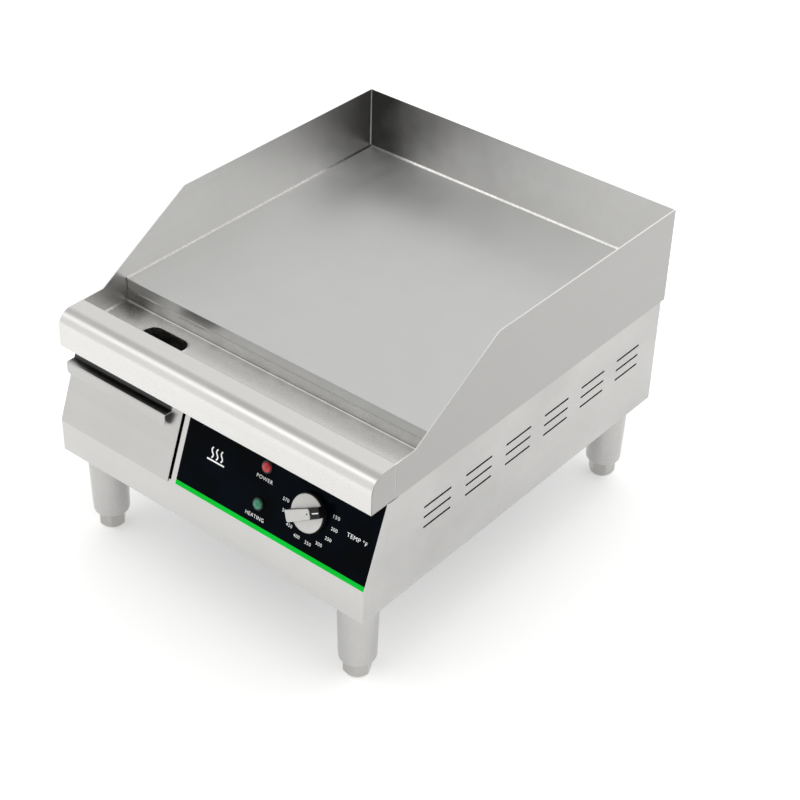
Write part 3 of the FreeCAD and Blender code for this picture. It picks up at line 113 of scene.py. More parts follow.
class Signal:
    """A value that changes over a surface. Its operators add Math nodes."""

    def __init__(self, tree, socket):
        self.tree = tree
        self.socket = socket

    def node(self, kind, settings=None, sockets=None, output=0):
        return add_node(self.tree, kind, settings, sockets, output)

    def math(self, operation, first, second):
        return self.node("ShaderNodeMath", {"operation": operation}, {0: first, 1: second})

    def __add__(self, other):
        return self.math("ADD", self, other)

    def __sub__(self, other):
        return self.math("SUBTRACT", self, other)

    def __rsub__(self, other):
        return self.math("SUBTRACT", other, self)

    def __mul__(self, other):
        return self.math("MULTIPLY", self, other)

    __radd__ = __add__
    __rmul__ = __mul__

    def size(self):
        """The value without its sign."""
        return self.math("ABSOLUTE", self, 0)

    def between(self, low, high):
        """0 at low, 1 at high, and a smooth step from one to the other."""
        return self.node("ShaderNodeMapRange", {"interpolation_type": "SMOOTHSTEP"},
                         {"Value": self, "From Min": low, "From Max": high})

    def dot(self, direction):
        """How far a vector points along a direction."""
        return self.node("ShaderNodeVectorMath", {"operation": "DOT_PRODUCT"},
                         {0: self, 1: direction}, "Value")

    def pick(self, first, second):
        """A colour between two, chosen by this mask."""
        return self.node("ShaderNodeMix", {"data_type": "RGBA"}, {0: self, 6: first, 7: second}, 2)

    def noise(self, stretch, detail=3, shift=0):
        """Cloudy noise in this vector's space; the stretch gives its cells for each metre."""
        moved = self.node("ShaderNodeMapping", None,
                          {"Vector": self, "Scale": stretch, "Location": (shift, 0.7 * shift, 0.3 * shift)})
        return self.node("ShaderNodeTexNoise", None, {"Vector": moved, "Scale": 1, "Detail": detail}, "Fac")


print("a signal can be added, subtracted and multiplied")

# %% [markdown]
# ## Studio
# Brushed steel shows what stands around it, so the surroundings matter more than the lamps. The sky
# is built from a few soft patches, each given by a direction: a bright lamp at the front left, a
# bright wall behind, a dimmer ceiling, and the dark place where the viewer stands.
# The floor is a pale board that glows a little, like a light table, so that shadows stay light.

# %% Soft sky
SKY_COLOUR = (1, 0.995, 0.985, 1)
SKY_LEVEL = 0.96
SKY_PATCHES = (
    # direction, reach in degrees, how much it adds
    (TOWARDS_CAMERA, 38, -0.70),
    (Vector((-0.45, 0.05, 0.89)), 34, -0.36),
    (Vector((-0.50, -0.47, 0.73)), 17, 0.80),
    (Vector((0.10, 0.85, 0.50)), 45, 0.15),
)


def build_sky():
    """Light the scene from all round, with patches that steel can reflect."""
    world = bpy.data.worlds.new("studio_sky")
    bpy.context.scene.world = world
    world.use_nodes = True
    tree = world.node_tree
    direction = add_node(tree, "ShaderNodeTexCoord", output="Generated")
    level = SKY_LEVEL
    for towards, reach, gain in SKY_PATCHES:
        near = direction.dot(tuple(towards.normalized()))
        level = level + near.between(math.cos(math.radians(reach)), 1) * gain
    tree.links.new(level.socket, tree.nodes["Background"].inputs["Strength"])
    tree.nodes["Background"].inputs["Color"].default_value = SKY_COLOUR
    return len(SKY_PATCHES)


bpy.context.scene.view_settings.view_transform = "Standard"
print("sky patches:", build_sky())

# %% [markdown]
# ## Finishes
# Each finish is a function that fills one material. The steel ones share their structure: a slow
# cloud for handling marks, long thin streaks for the brushing, and a bump from the same streaks.
# Only colour, roughness and the normal change over a surface.

# %% Start of a finish
class Finish:
    """A material in the making: its shader, and the place on the part as a signal."""

    def __init__(self, name, **constants):
        self.material = bpy.data.materials.new(name)
        self.material.use_nodes = True
        self.tree = self.material.node_tree
        self.shader = self.tree.nodes["Principled BSDF"]
        self.place = add_node(self.tree, "ShaderNodeTexCoord", output="Object")
        for socket, value in constants.items():
            self.shader.inputs[socket.replace("_", " ")].default_value = value

    def axis(self, letter):
        """One coordinate of the place, in metres."""
        return add_node(self.tree, "ShaderNodeSeparateXYZ", None, {0: self.place}, letter)

    def facing(self, letter):
        """How far the surface faces along one axis, from -1 to 1."""
        normal = add_node(self.tree, "ShaderNodeTexCoord", output="Normal")
        return add_node(self.tree, "ShaderNodeSeparateXYZ", None, {0: normal}, letter)

    def paint(self, socket, signal):
        """Let a signal drive one socket of the shader."""
        self.tree.links.new(signal.socket, self.shader.inputs[socket])

    def roughen(self, height, depth, strength=1.0):
        """Bump from a height of 0 to 1 that stands for a depth in metres."""
        bump = add_node(self.tree, "ShaderNodeBump", None,
                        {"Height": height, "Distance": depth, "Strength": strength}, "Normal")
        self.paint("Normal", bump)


def shade(colour, factor=1.0):
    """A colour made lighter or darker, with its alpha."""
    return tuple(channel * factor for channel in colour) + (1,)


GRAIN_STRETCH = {"X": (9, 900, 900), "Y": (900, 9, 900), "Z": (900, 900, 9)}
STREAK_STRETCH = {"X": (3, 90, 90), "Y": (90, 3, 90), "Z": (90, 90, 3)}


# %% Brushed steel
def brushed_steel(name, colour, grain, rough=0.3, cloudy=0.10, marks=None, shift=0,
                  painted_top_highlight=False):
    """Sheet steel brushed along one axis. marks(finish) may return a mask of darker colour, which is painted
    shade or reflection on some parts; a flag paints a highlight on faces that point up.
    """
    finish = Finish(name, Metallic=1.0)
    cloud = finish.place.noise((14, 14, 14), 4, shift)
    smudge = finish.place.noise((45, 45, 45), 5, shift + 5)
    streak = finish.place.noise(STREAK_STRETCH[grain], 3, shift + 2)
    hair = finish.place.noise(GRAIN_STRETCH[grain], 2, shift + 3)
    tone = (cloud - 0.5) * 1.6 + (streak - 0.5) * 0.8 + (hair - 0.5) * 0.25 + (smudge - 0.5) * 0.4
    metal = (tone * cloudy * 5 + 0.5).pick(shade(colour, 0.90), shade(colour, 1.08))
    # Where the mask is 1 the colour goes nearly black. This paints shade and reflection on the guard, the
    # trough, the drawer and the case's vent slots, and a seam and clouds elsewhere.
    if marks:
        metal = marks(finish).pick(metal, shade(colour, 0.12))
    # Faces that point up, such as the guard's top edges, get a painted highlight.
    if painted_top_highlight:
        metal = finish.facing("Z").between(0.3, 0.8).pick(metal, shade((0.97, 0.965, 0.95)))
    finish.paint("Base Color", metal)
    finish.paint("Roughness", (cloud - 0.5) * 0.16 + (smudge - 0.5) * 0.08 + (hair - 0.5) * 0.06 + rough)
    finish.roughen(streak * 0.5 + hair * 0.5, 0.00002, 0.15)
    return finish.material


# %% [markdown]
# A painted reflection of the dark studio darkens the guard's rear left corner, with some heat tint from the
# welder, and the left end of the trough. The guard's outer sides get a painted shade that makes them
# darker than the inner ones. Each is a mask in the part's own space.

# %% Painted reflection and shade in the corners
GUARD_LEFT_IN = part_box("guard_left")[1]
GUARD_BACK_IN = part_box("guard_back")[0]
GUARD_BACK_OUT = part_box("guard_back")[1].y
GUARD_RIGHT_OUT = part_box("guard_right")[1].x
NOSE_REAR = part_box("nose_rail")[1].y
PLATE_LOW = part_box("griddle_plate")[0]


def guard_tint_and_painted_shade(finish):
    """Painted reflection of the dark studio in the rear left corner, with some heat tint, fading along the
    back, and painted shade on the outer faces.
    """
    across = finish.axis("X")
    from_back = GUARD_BACK_IN.y - finish.axis("Y")
    uneven = finish.place.noise((22, 22, 22), 5, 11)
    corner = (across - GUARD_LEFT_IN.x) * 1.2 + from_back + (uneven - 0.5) * 0.08
    # Painted reflection of the dark studio in the rear left corner, with some heat tint from the weld.
    heat = (1 - corner.between(0.0, 0.15)) * 0.45
    # Painted reflection along the back wall, darkest at its left end.
    along_back = (across + (uneven - 0.5) * 0.1).between(-0.24, 0.20)
    back = (1 - from_back.between(0, MM)) * (1 - along_back) * 0.60
    # The outer faces get a painted shade.
    skin_start, skin_end = 0.6 * MM, 0.4 * MM
    beside = across.size().between(GUARD_RIGHT_OUT - skin_start, GUARD_RIGHT_OUT - skin_end)
    behind = finish.axis("Y").between(GUARD_BACK_OUT - skin_start, GUARD_BACK_OUT - skin_end)
    inside = (1 - beside) * (1 - behind)
    return inside * (heat + back) + (1 - inside) * 0.62


def nose_ends(finish):
    """The rail's cut ends: a dark seam round the caps, and plain metal behind them."""
    end = finish.facing("X").size().between(0.9, 0.98)
    ahead = (NOSE_REAR - finish.axis("Y")).between(1.4 * MM, 1.6 * MM)
    return end * (ahead * 0.35 + 0.45)


def case_clouds_and_slot_shade(finish):
    """Darker clouds on the right side, and painted shade on the cut edges in the vent slots."""
    outside = finish.axis("X").between(GUARD_RIGHT_OUT - 1.2 * MM, GUARD_RIGHT_OUT - MM)
    cloud = finish.place.noise((16, 10, 16), 4, 67)
    # Painted shade on the vent slots' cut edges.
    slot_edge_shade = finish.facing("Z").size().between(0.5, 0.9)
    return outside * (cloud * 0.3 - 0.02) + slot_edge_shade


def trough_edge_and_painted_reflection(finish):
    """Darker along the plate's front edge, and a painted reflection of the dark studio at the left end."""
    from_plate = PLATE_LOW.y - finish.axis("Y")
    from_left = finish.axis("X") - GUARD_LEFT_IN.x
    uneven = finish.place.noise((60, 25, 25), 5, 17)
    edge = 1 - (from_plate + (uneven - 0.5) * 0.012).between(0.0, 0.012)
    # Painted reflection at the trough's left end.
    end = 1 - (from_left + (uneven - 0.5) * 0.05).between(0.0, 0.07)
    return edge * 0.3 + end * 0.3


def handle_painted_shadow(finish):
    """Painted shadow behind the handle's lip and above it, under the nose."""
    handle_low, handle_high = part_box("drawer_handle")
    behind = finish.axis("Y") - handle_low.y
    height = finish.axis("Z") - handle_high.z
    uneven = finish.place.noise((30, 90, 90), 4, 61)
    along = (handle_high.x - finish.axis("X")).between(0, MM)
    above = (height + (uneven - 0.5) * MM).between(-1.2 * MM, -0.4 * MM)
    # Painted shadow: dark colour behind and above the handle.
    return behind.between(0.5 * MM, 7 * MM) * above * along


# %% Other finishes
def ground_plate():
    """The cooking plate: finely ground, a little duller, and with painted light in its rear left corner."""
    colour = (0.60, 0.605, 0.605)
    finish = Finish("ground_plate", Metallic=1.0)
    cloud = finish.place.noise((7, 5, 7), 4, 31)
    wipe = finish.place.noise((60, 5, 30), 4, 33)
    hair = finish.place.noise((1300, 60, 60), 2, 35)
    smudge = finish.place.noise((30, 30, 30), 6, 37)
    tone = (cloud - 0.5) * 1.3 + (wipe - 0.5) * 0.5 + (hair - 0.5) * 0.2 + (smudge - 0.5) * 0.5
    metal = (tone * 0.55 + 0.5).pick(shade(colour, 0.90), shade(colour, 1.07))
    from_back = GUARD_BACK_IN.y - finish.axis("Y")
    from_left = finish.axis("X") - GUARD_LEFT_IN.x
    # Painted light: the rear left corner is lifted towards white.
    corner = 1 - (from_back + from_left * 0.8 + (smudge - 0.5) * 0.05).between(0.0, 0.16)
    finish.paint("Base Color", (corner * 0.9).pick(metal, shade((0.97, 0.975, 0.98))))
    finish.paint("Roughness", (cloud - 0.5) * 0.18 + (wipe - 0.5) * 0.12 + corner * 0.15 + 0.36)
    finish.roughen(hair * 0.6 + smudge * 0.4, 0.00005, 0.5)
    return finish.material


def weld_metal():
    """Bright weld, wire-brushed, with a thin straw tint."""
    finish = Finish("weld_metal", Metallic=1.0)
    ripple = finish.place.noise((420, 420, 420), 3, 41)
    cloud = finish.place.noise((30, 30, 30), 3, 43)
    metal = ripple.between(0.3, 0.7).pick(shade((0.54, 0.535, 0.525)), shade((0.66, 0.655, 0.64)))
    finish.paint("Base Color", metal)
    finish.paint("Roughness", (cloud - 0.5) * 0.2 + 0.27)
    finish.roughen(ripple, 0.00005, 0.3)
    return finish.material


def galvanised_painted_shade():
    """Zinc-coated sheet for the inner walls, coloured near black as painted shade, with a faint spangle."""
    finish = Finish("galvanised_painted_shade", Metallic=0.85)
    cells = {"Vector": finish.place, "Scale": 90}
    spangle = add_node(finish.tree, "ShaderNodeTexVoronoi", None, cells, "Color")
    grey = add_node(finish.tree, "ShaderNodeSeparateXYZ", None, {0: spangle}, "X")
    cloud = finish.place.noise((20, 20, 20), 4, 51)
    # The near-black colour is painted shade on the inner walls.
    metal = (grey * 0.6 + cloud * 0.4).pick(shade((0.02, 0.0205, 0.021)), shade((0.035, 0.0355, 0.036)))
    finish.paint("Base Color", metal)
    finish.paint("Roughness", grey * 0.15 + 0.42)
    finish.roughen(cloud, 0.0001, 0.4)
    return finish.material


def zinc_fastener():
    """Zinc-plated screws, studs and nuts."""
    finish = Finish("zinc_fastener", Metallic=1.0)
    cloud = finish.place.noise((160, 160, 160), 4, 61)
    metal = cloud.between(0.35, 0.65).pick(shade((0.50, 0.50, 0.49)), shade((0.70, 0.70, 0.68)))
    finish.paint("Base Color", metal)
    finish.paint("Roughness", (cloud - 0.5) * 0.2 + 0.3)
    finish.roughen(cloud, 0.00008, 0.5)
    return finish.material


def control_gloss(name, colour, second, sheen, dust):
    """Printed gloss film: deep colour under a clear face with faint wipe marks."""
    finish = Finish(name, Specular_IOR_Level=sheen)
    cloud = finish.place.noise((26, 26, 26), 4, 71)
    wipe = finish.place.noise((180, 24, 24), 4, 73)
    finish.paint("Base Color", cloud.between(0.35, 0.7).pick(shade(colour), shade(second)))
    finish.paint("Roughness", wipe.between(0.3, 0.8) * dust + 0.10)
    finish.roughen(cloud * 0.5 + wipe * 0.5, 0.00008, 0.25)
    return finish.material


def moulded_plastic(name, colour, rough, sheen=0.5):
    """Moulded plastic with a fine spark-eroded grain."""
    finish = Finish(name, Specular_IOR_Level=sheen)
    grain = finish.place.noise((1800, 1800, 1800), 2, 81)
    cloud = finish.place.noise((60, 60, 60), 3, 83)
    finish.paint("Base Color", cloud.between(0.3, 0.7).pick(shade(colour, 0.85), shade(colour, 1.2)))
    finish.paint("Roughness", (cloud - 0.5) * 0.15 + (grain - 0.5) * 0.1 + rough)
    finish.roughen(grain, 0.00005, 0.5)
    return finish.material


def lamp_glass(name, colour, core):
    """Tinted lens with a moulded sparkle inside."""
    finish = Finish(name, Specular_IOR_Level=0.6)
    cells = {"Vector": finish.place, "Scale": 620}
    facet = add_node(finish.tree, "ShaderNodeTexVoronoi", None, cells, "Distance")
    cloud = finish.place.noise((500, 500, 500), 2, 87)
    finish.paint("Base Color", (facet * 0.9 + cloud * 0.3).between(0.2, 0.8).pick(shade(core), shade(colour)))
    finish.paint("Roughness", cloud * 0.1 + 0.08)
    finish.roughen(facet, 0.0003, 0.5)
    return finish.material


def plated_knob():
    """Satin metallised face of the knob, spun in fine lines."""
    finish = Finish("plated_knob", Metallic=0.55)
    cloud = finish.place.noise((130, 130, 130), 4, 91)
    hair = finish.place.noise((300, 2600, 2600), 2, 93)
    tone = (cloud - 0.5) * 1.2 + (hair - 0.5) * 0.6
    metal = (tone * 0.6 + 0.5).pick(shade((0.50, 0.494, 0.48)), shade((0.64, 0.634, 0.62)))
    finish.paint("Base Color", metal)
    finish.paint("Roughness", (cloud - 0.5) * 0.15 + 0.38)
    finish.roughen(hair, 0.00003, 0.5)
    return finish.material


def fired_ceramic(name, colour):
    """Unglazed ceramic of the thermostat and the cut-out."""
    finish = Finish(name, Specular_IOR_Level=0.35)
    speck = finish.place.noise((900, 900, 900), 3, 101)
    cloud = finish.place.noise((50, 50, 50), 3, 103)
    finish.paint("Base Color", (cloud * 0.6 + speck * 0.4).pick(shade(colour, 0.82), shade(colour, 1.08)))
    finish.paint("Roughness", speck * 0.2 + 0.5)
    finish.roughen(speck, 0.0001, 0.5)
    return finish.material


def oxidised_tube():
    """The element's sheath, browned and blued by heat."""
    finish = Finish("oxidised_tube", Metallic=0.8)
    cloud = finish.place.noise((30, 12, 30), 5, 111)
    speck = finish.place.noise((400, 400, 400), 3, 113)
    scale = cloud.between(0.35, 0.65).pick(shade((0.13, 0.115, 0.10)), shade((0.20, 0.195, 0.21)))
    finish.paint("Base Color", scale)
    finish.paint("Roughness", speck * 0.2 + 0.4)
    finish.roughen(speck, 0.0001, 0.5)
    return finish.material


def fibre(name, colour, strand):
    """Ceramic wool or a woven glass sleeve: short pale fibres in every direction."""
    finish = Finish(name, Specular_IOR_Level=0.2)
    thread = finish.place.noise(strand, 4, 121)
    cloud = finish.place.noise((30, 30, 30), 3, 123)
    finish.paint("Base Color", (thread * 0.6 + cloud * 0.4).pick(shade(colour, 0.75), shade(colour, 1.1)))
    finish.paint("Roughness", thread * 0.2 + 0.75)
    finish.roughen(thread, 0.0006, 0.8)
    return finish.material


FLOOR_GLOW = 0.40


def floor_board():
    """Pale studio board with the slightest cloud, lit a little from within."""
    finish = Finish("floor_board", Specular_IOR_Level=0.2)
    cloud = finish.place.noise((1.5, 1.5, 1.5), 3, 131)
    finish.paint("Base Color", cloud.pick(shade((0.955, 0.955, 0.955)), shade((0.965, 0.965, 0.963))))
    finish.paint("Roughness", cloud * 0.1 + 0.6)
    finish.shader.inputs["Emission Color"].default_value = shade((1, 1, 1))
    finish.shader.inputs["Emission Strength"].default_value = FLOOR_GLOW
    return finish.material


# %% Give every slot its finish
FINISHES = {
    "guard_steel": brushed_steel("guard_brushed", (0.90, 0.893, 0.877), "Y", 0.32, 0.08,
                                 guard_tint_and_painted_shade, 1, painted_top_highlight=True),
    "nose_steel": brushed_steel("nose_brushed", (0.71, 0.706, 0.692), "X", 0.27, 0.06, nose_ends, 7),
    "plate_steel": ground_plate(),
    "weld_steel": weld_metal(),
    "trough_steel": brushed_steel("trough_brushed", (0.70, 0.695, 0.68), "X", 0.28, 0.12, trough_edge_and_painted_reflection, 13),
    "case_steel": brushed_steel("case_brushed", (0.585, 0.582, 0.572), "X", 0.33, 0.09, case_clouds_and_slot_shade, 19),
    "inner_sheet": galvanised_painted_shade(),
    "drawer_steel": brushed_steel("drawer_brushed", (0.525, 0.522, 0.512), "X", 0.36, 0.12,
                                  handle_painted_shadow, 23),
    "leg_steel": brushed_steel("leg_brushed", (0.50, 0.497, 0.488), "Z", 0.26, 0.14, None, 29),
    "foot_steel": brushed_steel("foot_brushed", (0.46, 0.455, 0.44), "Z", 0.22, 0.20, None, 37),
    "fastener_steel": zinc_fastener(),
    "black_film": control_gloss("black_film", (0.0006, 0.0012, 0.002), (0.001, 0.003, 0.006), 0.02, 0.12),
    "green_trim": control_gloss("green_trim", (0.0, 0.58, 0.035), (0.0, 0.64, 0.045), 0.05, 0.10),
    "red_lens": lamp_glass("red_glass", (0.62, 0.02, 0.03), (0.25, 0.004, 0.008)),
    "green_lens": lamp_glass("green_glass", (0.02, 0.26, 0.14), (0.0, 0.07, 0.04)),
    "lamp_housing": moulded_plastic("lamp_housing", (0.010, 0.010, 0.012), 0.22, 0.35),
    "knob_black": moulded_plastic("knob_black", (0.006, 0.006, 0.007), 0.34, 0.25),
    "knob_silver": plated_knob(),
    "shaft_steel": brushed_steel("shaft_drawn", (0.62, 0.62, 0.62), "Y", 0.28, 0.08, None, 53),
    "thermostat_case": fired_ceramic("thermostat_ceramic", (0.75, 0.73, 0.68)),
    "element_sheath": oxidised_tube(),
    "limit_ceramic": fired_ceramic("limit_ceramic", (0.80, 0.78, 0.72)),
    "insulation_wool": fibre("insulation_wool", (0.62, 0.60, 0.55), (300, 300, 900)),
    "gland_nylon": moulded_plastic("gland_nylon", (0.012, 0.012, 0.012), 0.45),
    "wire_sleeve": fibre("wire_sleeve", (0.72, 0.69, 0.62), (2500, 2500, 2500)),
}
for node in nodes.values():
    for material_slot in node.material_slots:
        material_slot.material = FINISHES[material_slot.material.name.split(".")[0]]
print(len(FINISHES), "finishes on", len(nodes), "parts")

# %% [markdown]
# ## Eased edges
# Cut and folded sheet is never razor sharp, and an edge that is rounded by a few tenths of a
# millimetre catches a thin line of light. The frame's meshes stay as they are: a Weld modifier joins
# the faces, a Bevel rounds the sharp edges, and a Weighted Normal keeps the flat faces flat.

# %% Ease the edges of the sheet parts
EASED = {
    "guard_left": 0.35, "guard_right": 0.35, "guard_back": 0.35, "nose_rail": 0.3, "griddle_plate": 0.5,
    "grease_trough": 0.3, "drawer_front": 0.3, "drawer_handle": 0.35, "drawer_tray": 0.3,
    "trim_stripe": 0.08, "bay_wall": 0.3, "heat_shield": 0.2, "terminal_block": 0.6,
    "foot_front_left": 0.5, "foot_front_right": 0.5, "foot_rear_left": 0.5, "foot_rear_right": 0.5,
    "red_lamp_body": 0.3, "green_lamp_body": 0.3, "front_panel": 0.15,
}


def ease_edges(part, width):
    """Join the faces, round the sharp edges by a width in millimetres, and keep flat faces flat."""
    joined = part.modifiers.new("joined", "WELD")
    joined.merge_threshold = 1e-6
    eased = part.modifiers.new("eased", "BEVEL")
    eased.width = width * MM
    eased.segments = 2
    eased.limit_method = "ANGLE"
    eased.angle_limit = math.radians(40)
    part.modifiers.new("flat_faces", "WEIGHTED_NORMAL")


for name, width in EASED.items():
    ease_edges(nodes[name], width)
print("eased", len(EASED), "parts")

# %% [markdown]
# ## Making pieces
# New pieces are lists of points and faces. Two helpers cover most of them: a turned shape, from a
# profile of radius and height, and a slab, from a flat outline and two heights. Both work in a local
# space, and a matrix then sets them in place.

# %% Piece helpers
def new_piece(name, points, faces, body, slot, place=Matrix.Identity(4), smooth=True):
    """Make a mesh piece that rides on a body and takes the finish of a slot."""
    mesh = bpy.data.meshes.new(name)
    mesh.from_pydata([place @ Vector(point) for point in points], [], faces)
    mesh.polygons.foreach_set("use_smooth", [smooth] * len(mesh.polygons))
    mesh.update()
    mesh.materials.append(FINISHES[slot])
    piece = bpy.data.objects.new(name, mesh)
    bpy.context.scene.collection.objects.link(piece)
    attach(piece, body)
    return piece


def turned(profile, around=48):
    """Points and faces of a profile turned about the local Z axis; ends on the axis are closed."""
    points = []
    rings = []
    for radius, height in profile:
        if radius == 0:
            rings.append([len(points)] * around)
            points.append((0, 0, height))
        else:
            rings.append([len(points) + step for step in range(around)])
            points += [(radius * math.cos(2 * math.pi * step / around),
                        radius * math.sin(2 * math.pi * step / around), height) for step in range(around)]
    faces = []
    for lower, upper in zip(rings, rings[1:]):
        for step in range(around):
            after = (step + 1) % around
            corners = [lower[step], lower[after], upper[after], upper[step]]
            faces.append(list(dict.fromkeys(corners)))
    return points, faces


def slab(outline, low, high):
    """Points and faces of a flat outline thickened between two heights."""
    count = len(outline)
    points = [(x, y, low) for x, y in outline] + [(x, y, high) for x, y in outline]
    sides = [[step, (step + 1) % count, count + (step + 1) % count, count + step] for step in range(count)]
    return points, [list(range(count))[::-1], list(range(count, 2 * count))] + sides


def round_corners(piece, width, segments=3):
    """Round a piece's own edges with a bevel."""
    eased = piece.modifiers.new("rounded", "BEVEL")
    eased.width = width * MM
    eased.segments = segments
    eased.limit_method = "ANGLE"
    eased.angle_limit = math.radians(35)
    piece.modifiers.new("flat_faces", "WEIGHTED_NORMAL")


# %% [markdown]
# ## The sloped panel
# Everything on the control panel is laid out in the panel's own space: across, up the slope and out
# of it. The stripe's box in the frame gives where the slope starts, so nothing is placed by eye.

# %% Panel space
TILT = math.radians(20.4)
STRIPE_LOW = 2.2 * MM
FILM_GAUGE = 0.3 * MM
stripe_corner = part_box("trim_stripe")[0]
KNEE_Y = stripe_corner.y - STRIPE_LOW * math.sin(TILT) + FILM_GAUGE * math.cos(TILT)
KNEE_Z = stripe_corner.z - STRIPE_LOW * math.cos(TILT)
UP_SLOPE = Vector((0, math.sin(TILT), math.cos(TILT)))
OUT_OF_SLOPE = Vector((0, -math.cos(TILT), math.sin(TILT)))


def on_panel(x, up, out=FILM_GAUGE, spin=0.0):
    """A matrix that stands a piece on the panel, turned about the panel's normal."""
    origin = Vector((x, KNEE_Y, KNEE_Z)) + UP_SLOPE * up + OUT_OF_SLOPE * out
    axes = Matrix((Vector((1, 0, 0)), UP_SLOPE, OUT_OF_SLOPE)).transposed().to_4x4()
    return Matrix.Translation(origin) @ axes @ Matrix.Rotation(spin, 4, "Z")


def panel_spot(node):
    """Where a round part's middle is, across and up the slope."""
    low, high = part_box(node)
    middle = (low + high) / 2 - Vector((0, KNEE_Y, KNEE_Z))
    return middle.x, middle.dot(UP_SLOPE)


KNOB_X, KNOB_UP = panel_spot("knob_face")
print("knob at", round(KNOB_X, 4), round(KNOB_UP, 4))

# %% [markdown]
# ## Lettering and dial
# The film carries plain words and the dial's numbers. Blender's text object makes the outlines, and
# turning it into a mesh a tenth of a millimetre thick gives printed letters that sit on the film.

# %% Print white ink
INK = (0.96, 0.965, 0.97)
FINISHES["white_ink"] = moulded_plastic("white_ink", INK, 0.5, 0.2)
INK_BASE = FILM_GAUGE + 0.01 * MM
INK_TOP = 0.05 * MM


def print_piece(name, points, faces, place):
    """A flat piece of white ink on the film."""
    piece = new_piece(name, points, faces, "case", "black_film", place, smooth=False)
    piece.data.materials[0] = FINISHES["white_ink"]
    return piece


def print_words(name, words, x, up, width, height):
    """Print words centred on a place of the panel, fitted to a width and a capital's height."""
    curve = bpy.data.curves.new(name, "FONT")
    curve.body = words
    curve.extrude = 0.5
    curve.space_character = 1.12
    text = bpy.data.objects.new(name, curve)
    mesh = bpy.data.meshes.new_from_object(text)
    points = [vertex.co.copy() for vertex in mesh.vertices]
    faces = [list(face.vertices) for face in mesh.polygons]
    bpy.data.objects.remove(text)
    low = Vector([min(point[axis] for point in points) for axis in range(3)])
    high = Vector([max(point[axis] for point in points) for axis in range(3)])
    middle = (low + high) / 2
    scale = (width / (high.x - low.x), height / (high.y - low.y), INK_TOP)
    fitted = [tuple((point[axis] - middle[axis]) * scale[axis] for axis in range(3)) for point in points]
    return print_piece(name, fitted, faces, on_panel(x, up, INK_BASE + INK_TOP / 2))


LEGENDS = {
    # name: words, across and up the panel, width and capital height
    "power_legend": ("POWER", 63.4 * MM, 54 * MM, 19.9 * MM, 3.7 * MM),
    "heating_legend": ("HEATING", 62.1 * MM, 14.6 * MM, 23 * MM, 3.7 * MM),
    "temperature_legend": ("TEMP °F", 178.5 * MM, 46 * MM, 23.6 * MM, 4.4 * MM),
}
for name, legend in LEGENDS.items():
    print_words(name, *legend)
DIAL_RADIUS = 30 * MM
NUMBER_WIDTH = 7.4 * MM
NUMBER_HEIGHT = 3.4 * MM
DIAL = {"150": 15.5, "200": -7.7, "250": -30.6, "300": -55, "350": -80,
        "400": -107, "450": -131, "500": -157, "570": -178, "OFF": 90}
for number, angle in DIAL.items():
    turn = math.radians(angle)
    print_words(f"dial_{number.lower()}", number, KNOB_X + DIAL_RADIUS * math.cos(turn),
                KNOB_UP + DIAL_RADIUS * math.sin(turn), NUMBER_WIDTH, NUMBER_HEIGHT)
print("dial marks:", ", ".join(DIAL))

# %% [markdown]
# A plain mark of three heat waves over a hot plate stands to the left of the lamps. Each wave is a
# ribbon that follows a sine, and the plate is a thin bar.

# %% Heat mark
def ribbon(line, width):
    """A flat ribbon's outline around a line of points."""
    left = []
    right = []
    for index, point in enumerate(line):
        before = Vector(line[max(index - 1, 0)])
        after = Vector(line[min(index + 1, len(line) - 1)])
        along = (after - before).normalized()
        aside = Vector((-along.y, along.x)) * width / 2
        left.append(tuple(Vector(point) + aside))
        right.append(tuple(Vector(point) - aside))
    return right + left[::-1]


WAVE_STEPS = 24
WAVE_SWING = 1.4 * MM
WAVE_LOW = 3 * MM
WAVE_RISE = 11 * MM
WAVE_PITCH = 6 * MM
WAVE_WIDTH = 1.5 * MM
BAR_REACH = 11 * MM
BAR_HEIGHT = 1.6 * MM


def heat_wave(middle):
    """One rising wave, as points across and up."""
    rise = [step / WAVE_STEPS for step in range(WAVE_STEPS + 1)]
    return [(middle + WAVE_SWING * math.sin(2 * math.pi * part), WAVE_LOW + WAVE_RISE * part)
            for part in rise]


def print_heat_mark():
    """Three waves over a bar."""
    place = on_panel(3 * MM, 43 * MM, INK_BASE)
    for index, middle in enumerate((-WAVE_PITCH, 0, WAVE_PITCH)):
        points, faces = slab(ribbon(heat_wave(middle), WAVE_WIDTH), 0, INK_TOP)
        print_piece(f"heat_wave_{index}", points, faces, place)
    bar = [(-BAR_REACH, 0), (BAR_REACH, 0), (BAR_REACH, BAR_HEIGHT), (-BAR_REACH, BAR_HEIGHT)]
    points, faces = slab(bar, 0, INK_TOP)
    print_piece("heat_bar", points, faces, place)
    return "heat mark printed"


print(print_heat_mark())

# %% [markdown]
# ## Knob
# The moulded knob is one black piece with a rounded skirt and a bar across it. A bright plate lies
# round the bar, raised a little in its middle, and a bright cap covers most of the bar. The cap
# widens towards its outer end. The bar's bare black end carries a light pointer. Turned profiles
# make the round parts, and an outline with rounded corners makes the bar, its cap and its pointer.

# %% Knob pieces
KNOB_ANGLE = math.radians(29)
KNOB_LOW = 0.8 * MM
SKIRT_RADIUS = 19.5 * MM
SKIRT_OUT = 5.75 * MM
FACE_RADIUS = 18.4 * MM
FACE_OUT = 5.8 * MM
BAR_OUT = 12.8 * MM
CAP_OUT = 13.55 * MM
BAR_HALF = 19.8 * MM
BAR_WIDE = 11.8 * MM
BAR_NARROW = 10.4 * MM
CAP_END = 9 * MM
POINTER_WIDTH = 1.2 * MM
AROUND = 96
CORNER_STEPS = 6


